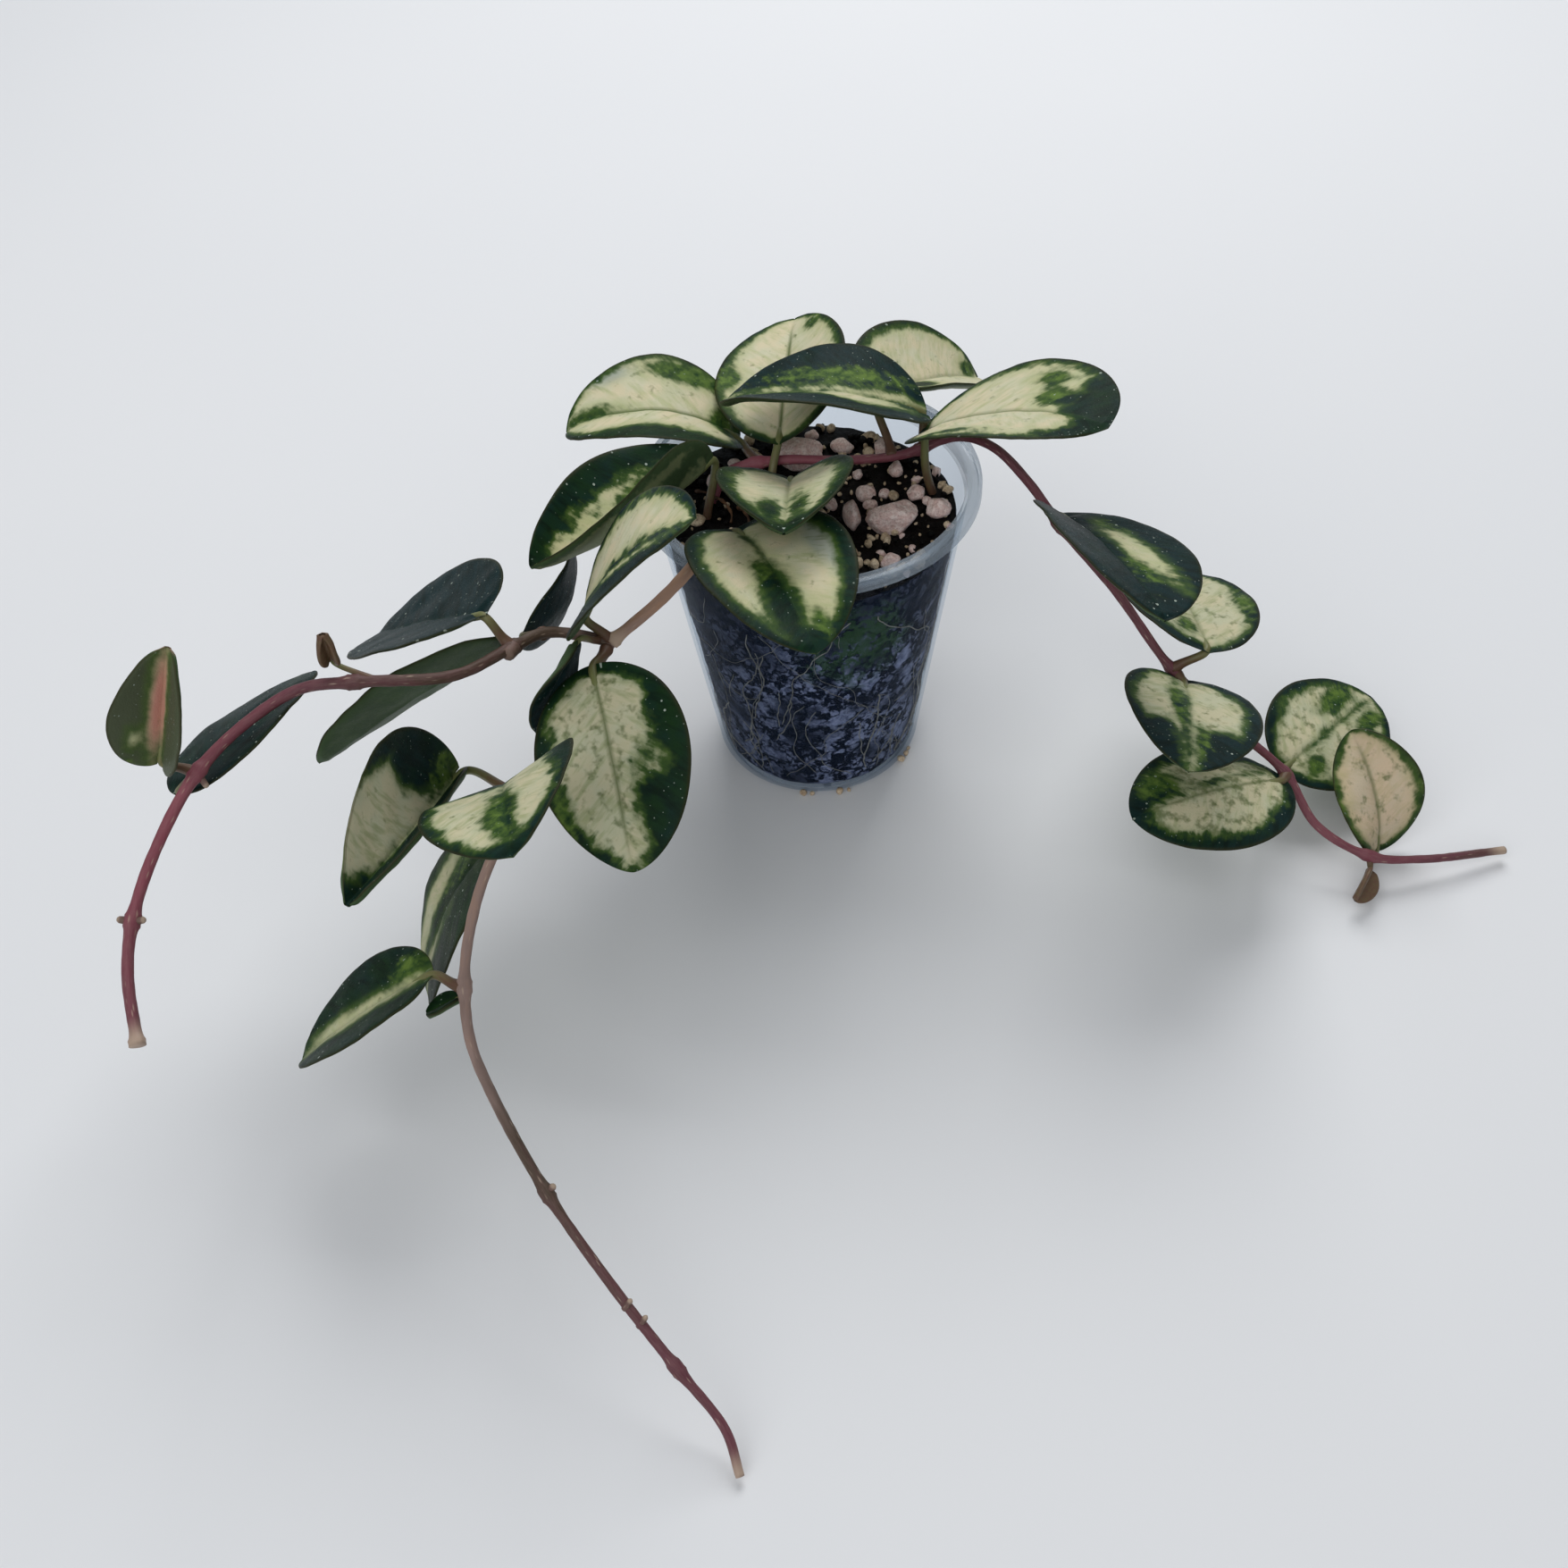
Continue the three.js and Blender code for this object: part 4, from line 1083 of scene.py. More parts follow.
    def build(
        self,
        skin: bpy.types.Material,
        stalk_skin: bpy.types.Material,
        stems: np.ndarray,
        stem_radii: np.ndarray,
    ) -> None:
        """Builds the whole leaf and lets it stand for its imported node.

        Args:
            skin: the blade's finish.
            stalk_skin: the stalk's finish.
            stems: points of every stem's line.
            stem_radii: the radius at each of them.
        """
        piece = PieceMesh(self.name.replace("leaf_", "foliage_"))
        self.blade(piece)
        self.stalk(piece, stems, stem_radii)
        piece.make([skin, stalk_skin], [self.name])


@dataclass(frozen=True)
class StalkSkin:
    """A leaf stalk's fresh skin: olive, brown at the stem, with fine long streaks and a soft gloss."""

    name: str = "hoya_leaf_stalk"
    olive: str = "#5d6338"
    brown: str = "#5f4434"
    streak: str = "#7f8552"
    streak_mm: float = 0.5

    def build(self) -> bpy.types.Material:
        """Makes the material from the values at the stalk's points: bark and ripe.

        Returns:
            The finish of every stalk, and of the young leaves.
        """
        material, tree = new_material(self.name)
        bark = add_node(tree, "Attribute", attribute_name="bark").outputs["Vector"]
        ripe = add_node(tree, "Attribute", attribute_name="ripe").outputs["Fac"]
        grain = add_node(tree, "TexNoise", {"Vector": bark, "Scale": 1 / self.streak_mm, "Detail": 4.0})
        pushed = add_node(tree, "Math", {0: grain, 1: 0.6, 2: ripe}, **SCALE_AND_ADD)
        share = add_node(tree, "MapRange", {0: pushed, 1: 0.45, 2: 1.2}, **SMOOTH)
        fresh = add_node(tree, "Mix", {0: grain, 6: self.olive, 7: self.streak}, **COLOURS)
        colour = add_node(tree, "Mix", {0: share, 6: fresh, 7: self.brown}, **COLOURS)
        rough = add_node(tree, "MapRange", {0: grain, 1: 0.3, 2: 0.7, 3: 0.42, 4: 0.58})
        end_material(tree, {"Base Color": colour, "Roughness": rough, "IOR": 1.45}, grain, 0.4, 0.2)
        return material


@dataclass(frozen=True)
class Stem:
    """One stem's line, with its knots, radii and colour from woody (0) to young and red (1)."""

    route: tuple[Point, ...]
    knots: tuple[Point, ...]
    radius: float
    end_radius: float
    tones: tuple[float, ...]
    cut_pale: float = 6.0

    SIDES = 20
    STEP = 0.55
    KNOT_SWELL = 0.5
    KNOT_REACH = 2.2

    def line(self) -> tuple[np.ndarray, np.ndarray, np.ndarray]:
        """Samples the stem.

        Returns:
            Its centres, their distance from its start, and its radius at each.
        """
        centres, along = spaced(catmull_rom(self.route, 24), self.STEP)
        plain = self.radius + (self.end_radius - self.radius) * along / along[-1]
        knots = np.array(self.knots)
        nearest = np.linalg.norm(centres[:, None] - knots[None], axis=2).min(1)
        swell = self.KNOT_SWELL * np.exp(-((nearest / self.KNOT_REACH) ** 2))
        ring = 0.16 * np.exp(-(((nearest - 1.1) / 0.35) ** 2))
        return centres, along, plain + swell + ring

    def add_to(self, piece: PieceMesh, seed: float) -> None:
        """Adds the stem, with ridges along it and pale cork at its cut end.

        Args:
            piece: the mesh that it belongs to.
            seed: sets its ridges apart from the other stems'.
        """
        centres, along, radii = self.line()
        angle = np.arange(self.SIDES) * 2 * np.pi / self.SIDES
        ridge = 0.05 * np.sin(3 * angle[None] + along[:, None] * 0.07 + seed)
        bumps = fractal(np.stack([along, 0 * along, 0 * along], 1), 3.0, seed) * 0.07
        points, faces, around = tube(centres, radii[:, None] * (1 + ridge) + bumps[:, None], self.SIDES)
        share = np.linspace(0, 1, len(self.tones))
        tone = np.interp(along / along[-1], share, self.tones)
        pale = smooth_step(self.cut_pale, 0.5, along[-1] - along) * 0.75
        rows = [on_rings(values, self.SIDES) for values in (along, tone, pale)]
        bark = np.stack([1.4 * np.cos(around), 1.4 * np.sin(around), rows[0] * 0.22 + seed], 1)
        piece.add(points, faces, 0, bark=bark, tone=rows[1], pale=rows[2])


@dataclass(frozen=True)
class Stub:
    """The short stump of a lost leaf or a side root."""

    at: Point
    toward: Point
    reach: float
    radius: float
    pale: float = 0.7

    SIDES = 10

    def add_to(self, piece: PieceMesh) -> None:
        """Adds the stump, which narrows to a pale end.

        Args:
            piece: the stem's mesh.
        """
        way = np.array(self.toward) / np.linalg.norm(self.toward)
        share = np.linspace(0, 1, 9)
        centres = np.array(self.at) + way * (share * self.reach)[:, None]
        radii = self.radius * (1 - 0.25 * share) * np.where(share > 0.95, 0.6, 1)
        points, faces, around = tube(centres, radii, self.SIDES)
        rows = on_rings(share, self.SIDES)
        bark = np.stack([np.cos(around), np.sin(around), rows], 1)
        pale = 0.1 + self.pale * smooth_step(0.7, 1, rows)
        piece.add(points, faces, 0, bark=bark, tone=0.5, pale=pale)


@dataclass
class Stems:
    """Both trailing stems: the wine red one on the right, and the forked one on the left."""

    right: Stem
    trunk: Stem
    left: Stem
    front: Stem
    stubs: tuple[Stub, ...]
    skin: StemSkin = field(default_factory=StemSkin)

    def lines(self) -> tuple[np.ndarray, np.ndarray]:
        """Points of every stem's line, with the radius at each."""
        rows = [stem.line() for stem in (self.right, self.trunk, self.left, self.front)]
        return np.vstack([row[0] for row in rows]), np.concatenate([row[2] for row in rows])

    def build(self) -> None:
        """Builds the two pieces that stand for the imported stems."""
        bark = self.skin.build()
        right = PieceMesh("bark_right")
        self.right.add_to(right, 1.0)
        right.make([bark], ["stem_right"])
        forked = PieceMesh("bark_left")
        for seed, stem in enumerate((self.trunk, self.left, self.front)):
            stem.add_to(forked, 3.0 + seed)
        for stub in self.stubs:
            stub.add_to(forked)
        forked.make([bark], ["stem_left"])


def turned(profile: Sequence[tuple[float, float]], segments: int) -> tuple[np.ndarray, Faces]:
    """Turns a profile about Z.

    Args:
        profile: radius and height of each ring; a radius of 0 is a point on the axis.
        segments: points in a ring.

    Returns:
        The points, and faces that look outward for a profile that goes up on the outside.
    """
    angle = np.arange(segments) * 2 * np.pi / segments
    points, starts = [], []
    for radius, height in profile:
        starts.append(sum(len(p) for p in points))
        count = segments if radius > 0 else 1
        ring = np.stack([np.cos(angle) * radius, np.sin(angle) * radius, np.full(segments, height)], 1)
        points.append(ring[:count])
    faces = []
    for row in range(len(profile) - 1):
        low, high = starts[row], starts[row + 1]
        flat_low, flat_high = profile[row][0] == 0, profile[row + 1][0] == 0
        for k in range(segments):
            n = (k + 1) % segments
            if flat_low and flat_high:
                continue
            if flat_low:
                faces.append((low, high + n, high + k))
            elif flat_high:
                faces.append((low + k, low + n, high))
            else:
                faces.append((low + k, low + n, high + n, high + k))
    return np.vstack(points), faces


@dataclass
class Cup:
    """The clear tapered cup with its flat rolled lip, in millimetres."""

    height: float = 81.0
    wall: float = 0.8
    base_radius: float = 22.8
    foot_radius: float = 26.0
    foot_height: float = 4.0
    neck_radius: float = 36.7
    neck_height: float = 76.5
    lip_outer: float = 40.0
    lip_inner: float = 37.2
    lip_drop: float = 2.8
    segments: int = 144

    def inner_radius(self, height: float) -> float:
        """Radius of the wall's inner face at a height."""
        share = (height - self.foot_height) / (self.neck_height - self.foot_height)
        return self.foot_radius + (self.neck_radius - self.foot_radius) * share - self.wall

    def build(self, clear: bpy.types.Material, frosted: bpy.types.Material) -> None:
        """Builds the cup.

        Args:
            clear: the thin wall's finish.
            frosted: the thicker lip's finish.
        """
        top = self.height - self.wall
        arc = [
            (self.base_radius + 3.2 * math.sin(a), 4.0 * (1 - math.cos(a)))
            for a in np.linspace(0.15, math.pi / 2, 7)
        ]
        outside = [(0, 0), (self.base_radius, 0), *arc, (self.neck_radius, self.neck_height)]
        lip = [
            (self.neck_radius, self.neck_height),
            (self.neck_radius + 0.25, top - 0.8),
            (self.lip_inner + 0.5, top),
            (self.lip_outer - self.wall - 0.4, top),
            (self.lip_outer - self.wall, top - 0.4),
            (self.lip_outer - self.wall, self.height - self.lip_drop),
            (self.lip_outer, self.height - self.lip_drop),
            (self.lip_outer, self.height - 0.7),
            (self.lip_outer - 0.2, self.height - 0.2),
            (self.lip_outer - 0.6, self.height),
            (self.lip_inner, self.height),
            (self.lip_inner - 0.5, self.height - 0.3),
            (self.lip_inner - 0.8, self.height - 0.8),
            (self.neck_radius - self.wall, self.neck_height),
        ]
        inside = [
            (self.neck_radius - self.wall, self.neck_height),
            (self.foot_radius - self.wall, self.foot_height + 0.2),
            (self.foot_radius - 1.4, 2.4),
            (self.base_radius + 1.2, 1.5),
            (self.base_radius - 0.4, 0.9),
            (0, 0.9),
        ]
        piece = PieceMesh("clear_cup")
        profile = [*outside[:-1], *lip, *inside[1:]]
        points, faces = turned(profile, self.segments)
        first_lip = self.segments * (len(outside) - 1)
        last_lip = first_lip + self.segments * (len(lip) - 1)
        piece.add(points, faces)
        for index in range(first_lip, last_lip):
            piece.finishes[index] = 1
        made = piece.make([clear, frosted], ["cup"])
        made.data.set_sharp_from_angle(angle=math.radians(38))


def round_mesh(level: int) -> tuple[np.ndarray, Faces]:
    """Makes an even ball of radius 1.

    Args:
        level: how often its faces are split, 1 for 20 faces.

    Returns:
        Its points and faces.
    """
    ball = bmesh.new()
    bmesh.ops.create_icosphere(ball, subdivisions=level, radius=1.0)
    points = np.array([tuple(v.co) for v in ball.verts])
    faces = [tuple(v.index for v in face.verts) for face in ball.faces]
    ball.free()
    return points, faces


@dataclass(frozen=True)
class Stone:
    """A broken pumice stone, in millimetres and degrees."""

    name: str
    at: Point
    size: Point
    turn: float
    level: int = 4

    FACETS = 16

    def shape(self, seed: int) -> tuple[np.ndarray, Faces]:
        """Shapes the stone: a ball cut by chance planes, worn and pitted.

        Args:
            seed: chooses its cuts.

        Returns:
            Its points and faces.
        """
        ball, faces = round_mesh(self.level)
        random = np.random.default_rng(seed)
        normals = random.normal(size=(self.FACETS, 3))
        normals /= np.linalg.norm(normals, axis=1)[:, None]
        cuts = random.uniform(0.72, 1.0, self.FACETS)
        facing = np.maximum(ball @ normals.T, 0.05)
        reach = np.minimum((cuts / facing).min(1), 1.06)
        pits = np.maximum(fractal(ball, 0.22, seed + 3), 0)
        reach *= 1 + 0.05 * fractal(ball, 0.6, seed) - 0.05 * pits
        spin = math.radians(self.turn)
        points = ball * reach[:, None] * np.array(self.size) / 2
        turned_x = points[:, 0] * math.cos(spin) - points[:, 1] * math.sin(spin)
        turned_y = points[:, 0] * math.sin(spin) + points[:, 1] * math.cos(spin)
        return np.stack([turned_x, turned_y, points[:, 2]], 1) + np.array(self.at), faces

    def build(self, finish: bpy.types.Material, seed: int) -> None:
        """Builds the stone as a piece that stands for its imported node.

        Args:
            finish: its material.
            seed: chooses its cuts.
        """
        piece = PieceMesh(self.name.replace("pumice_", "stone_"))
        piece.add(*self.shape(seed))
        piece.make([finish], [self.name])


class Filling(Enum):
    """What a part of the filling is made of, by the place of its material on the piece."""

    MIX = 0
    SIDE = 1
    ROOT = 2
    GRIT = 3
    DEAD_STEM = 4
    PUMICE = 5


@dataclass
class PottingMix:
    """The dark mix that fills the cup: uneven top, pressed side, roots, grit and dead bits."""

    cup: Cup
    level: float = 71.5
    wave: float = 0.7
    gap: float = 0.3
    side_top: float = 70.6
    rings: int = 46
    segments: int = 168
    side_rows: int = 64
    crumbs: int = 330
    grit: int = 330
    roots: int = 120
    scatter_reach: float = 33.4
    root_step: float = 1.1
    root_lowest: float = 5.5
    seed: int = 4411

    def ground(self, x: np.ndarray, y: np.ndarray) -> np.ndarray:
        """Gives the height of the mix's top.

        Args:
            x: places across the cup.
            y: places from front to back.

        Returns:
            The heights there.
        """
        broad = np.sin(0.21 * x + 0.6) * np.cos(0.24 * y - 0.4)
        fine = np.sin(0.63 * x + 0.41 * y) * np.cos(0.72 * y - 0.33 * x)
        return self.level + self.wave * (0.6 * broad + 0.4 * fine)

    def body(self, piece: PieceMesh) -> None:
        """Adds the mix's top, side and underside as one closed skin.

        Args:
            piece: the filling's mesh.
        """
        foot = ((1.2, 21.9), (2.0, 23.5), (2.7, 24.3), (4.6, 24.85))
        outline = np.array([*foot, (self.side_top, 34.7)])
        heights = np.linspace(foot[0][0], self.side_top, self.side_rows)
        radii = np.interp(heights, outline[:, 0], outline[:, 1])
        ring_radii = self.edge() * (1 - np.linspace(0, 1, self.rings)[1:-1]) ** 0.9
        top_rings = [(radius, self.level) for radius in ring_radii]
        profile = [(0, foot[0][0]), *zip(radii, heights), *top_rings, (0, self.level)]
        points, faces = turned(profile, self.segments)
        top_from = 1 + self.segments * self.side_rows
        top, side = points[top_from:], points[1:top_from]
        rough = fractal(top * np.array([1, 1, 0]), 3.2, 5.0, 4)
        inward = smooth_step(0, 3.5, self.edge() - np.hypot(top[:, 0], top[:, 1]))
        top[:, 2] = self.ground(top[:, 0], top[:, 1])
        top[:, 2] += (0.9 * rough - 0.35) * inward - 0.6 * (1 - inward)
        pressed = 0.35 + 0.3 * fractal(side, 4.0, 9.0, 3)
        side[:, :2] *= (1 - np.clip(pressed, 0, 0.8) / np.hypot(side[:, 0], side[:, 1]))[:, None]
        is_side = [max(face) < top_from + self.segments for face in faces]
        piece.add(points, [f for f, on in zip(faces, is_side) if not on], Filling.MIX.value)
        piece.add(points, [f for f, on in zip(faces, is_side) if on], Filling.SIDE.value)

    def edge(self) -> float:
        """Radius of the mix's top edge."""
        return self.cup.inner_radius(self.side_top) - self.gap

    def scatter(self, piece: PieceMesh) -> None:
        """Adds the crumbs of mix and bark, and the tan grit that lies mostly on the right.

        Args:
            piece: the filling's mesh.
        """
        random = np.random.default_rng(self.seed)
        for index in range(self.crumbs + self.grit):
            is_grit = index >= self.crumbs
            angle = random.uniform(0, 2 * math.pi)
            far = self.scatter_reach * math.sqrt(random.random())
            x, y = far * math.cos(angle), far * math.sin(angle)
            kept = 0.25 + 0.75 * float(smooth_step(-18, 16, np.array(x - 0.3 * y)))
            if is_grit and random.random() > kept:
                continue
            spread, power = (1.35, 2.6) if is_grit else (0.95, 2.0)
            radius = 0.4 + spread * random.random() ** power
            stretch = random.uniform(0.6, 1.25, 3)
            z = float(self.ground(np.array(x), np.array(y))) + 0.25 * radius
            size = tuple(2 * radius * stretch)
            bit = Stone("bit", (x, y, z), size, math.degrees(angle) * 3, 3 if radius > 0.8 else 2)
            finish = Filling.GRIT if is_grit else Filling.MIX
            piece.add(*bit.shape(index + 60), finish.value)

    def pebbles(self, piece: PieceMesh) -> None:
        """Adds the middling pumice bits that lie on the mix between the large stones.

        Args:
            piece: the filling's mesh.
        """
        for index, (x, y, across) in enumerate(PEBBLES):
            z = float(self.ground(np.array(x), np.array(y))) + 0.2 * across
            size = (1.1 * across, 0.85 * across, 0.8 * across)
            stone = Stone("bit", (x, y, z), size, 47.0 * index, 3)
            piece.add(*stone.shape(index + 2000), Filling.PUMICE.value)

    def threads(self, piece: PieceMesh) -> None:
        """Adds the pale roots that run down between the mix and the wall.

        Args:
            piece: the filling's mesh.
        """
        random = np.random.default_rng(self.seed + 1)
        for _ in range(self.roots):
            radius = 0.06 + 0.13 * random.random() ** 2
            count = int(random.uniform(10, 46))
            angle, height = random.uniform(0, 2 * math.pi), random.uniform(12, 69)
            course = random.uniform(-1.1, 1.1)
            route = []
            for _ in range(count):
                wall = self.cup.inner_radius(height) - self.gap * 0.5 - radius - 0.1
                route.append((wall * math.cos(angle), wall * math.sin(angle), height))
                course += random.normal(0, 0.22)
                course *= 0.97
                angle += self.root_step * math.sin(course) / wall
                height -= self.root_step * math.cos(course)
                if height < self.root_lowest:
                    break
            if len(route) < 4:
                continue
            points, faces, _ = tube(np.array(route), np.full(len(route), radius), 6)
            piece.add(points, faces, Filling.ROOT.value)

    def dead_bits(self, piece: PieceMesh) -> None:
        """Adds the curled brown bits of dead stem by the old stem, left of the middle.

        Args:
            piece: the filling's mesh.
        """
        for route in DEAD_BITS:
            centres, along = spaced(catmull_rom(route, 8), 0.5)
            radii = 0.42 + 0.1 * np.sin(along * 1.7) - 0.2 * (along / along[-1]) ** 2
            points, faces, _ = tube(centres, radii, 8)
            piece.add(points, faces, Filling.DEAD_STEM.value)

    def build(self, finishes: dict[Filling, bpy.types.Material]) -> None:
        """Builds the whole filling as the piece that stands for the packed soil.

        Args:
            finishes: the material of each of its parts.
        """
        piece = PieceMesh("potting_mix")
        self.body(piece)
        self.scatter(piece)
        self.pebbles(piece)
        self.threads(piece)
        self.dead_bits(piece)
        piece.make([finishes[part] for part in Filling], ["soil"])


@dataclass
class FootGrit:
    """Bits of spilt grit that cling to the cup's rounded foot, at the front and right."""

    places: tuple[Point, ...] = (
        (-5.2, -24.9, 0.9),
        (-3.1, -25.3, 0.8),
        (4.0, -25.2, 1.0),
        (6.3, -24.6, 0.7),
        (20.4, -15.1, 1.0),
        (22.0, -12.9, 0.8),
        (22.7, -11.0, 0.6),
    )
    radii: tuple[float, ...] = (1.0, 0.7, 1.05, 0.6, 1.05, 0.8, 0.6)

    def build(self, finish: bpy.types.Material) -> None:
        """Builds the bits as one piece.

        Args:
            finish: their material.
        """
        piece = PieceMesh("grit_at_foot")
        for index, (place, radius) in enumerate(zip(self.places, self.radii)):
            size = (2 * radius, 1.7 * radius, 1.8 * radius)
            piece.add(*Stone("bit", place, size, 40.0 * index, 3).shape(index + 900))
        piece.make([finish])


def build_camera() -> None:
    """Makes the camera at the photograph's angle."""
    data = bpy.data.cameras.new("camera")
    data.sensor_width = SENSOR_WIDTH
    data.lens = FOCAL_PIXELS * SENSOR_WIDTH / FRAME_PIXELS
    data.clip_start, data.clip_end = 0.01, 20.0
    camera = bpy.data.objects.new("camera", data)
    tilt = Matrix.Rotation(math.radians(CAMERA_TILT), 4, "X")
    roll = Matrix.Rotation(math.radians(CAMERA_ROLL), 4, "Z")
    camera.matrix_world = Matrix.Translation(Vector(CAMERA_PLACE) * MM) @ tilt @ roll
    bpy.context.scene.collection.objects.link(camera)
    bpy.context.scene.camera = camera


def build_lamp(name: str, place: Point, size: float, power: float) -> None:
    """Makes a soft square lamp that looks at the plant.

    Args:
        name: the lamp's name.
        place: where it hangs, in metres.
        size: its side, in metres.
        power: its power in watts.
    """
    data = bpy.data.lights.new(name, "AREA")
    data.shape, data.size, data.energy = "SQUARE", size, power
    lamp = bpy.data.objects.new(name, data)
    lamp.location = place
    lamp.rotation_euler = (Vector((0, 0, 0.04)) - Vector(place)).to_track_quat("-Z", "Y").to_euler()
    bpy.context.scene.collection.objects.link(lamp)


def build_studio() -> None:
    """Makes the pale floor, the even sky and the lamps."""
    material, tree = new_material("matt_card_backdrop")
    place = add_node(tree, "TexCoord").outputs["Object"]
    grain = add_node(tree, "TexNoise", {"Vector": place, "Scale": 3.0, "Detail": 2.0})
    colour = add_node(tree, "Mix", {0: grain, 6: "#dfe1e4", 7: "#e6e7e9"}, **COLOURS)
    shader = add_node(tree, "BsdfPrincipled", {"Base Color": colour, "Roughness": 0.9})
    add_node(tree, "OutputMaterial", {"Surface": shader})
    corners = [(x * FLOOR_HALF, y * FLOOR_LENGTH, 0.0) for x, y in ((-1, -1), (1, -1), (1, 1), (-1, 1))]
    mesh = bpy.data.meshes.new("floor")
    mesh.from_pydata(corners, [], [(0, 1, 2, 3)])
    mesh.materials.append(material)
    floor = bpy.data.objects.new("floor", mesh)
    bpy.context.scene.collection.objects.link(floor)
    world = bpy.data.worlds.new("studio")
    bpy.context.scene.world = world
    world.use_nodes = True
    background = world.node_tree.nodes["Background"]
    background.inputs["Color"].default_value = linear("#e9edf2")
    background.inputs["Strength"].default_value = SKY_STRENGTH
    bpy.context.scene.view_settings.view_transform = "Standard"
    build_lamp("key", KEY_PLACE, KEY_SIZE, KEY_POWER)
    build_lamp("fill", FILL_PLACE, FILL_SIZE, FILL_POWER)
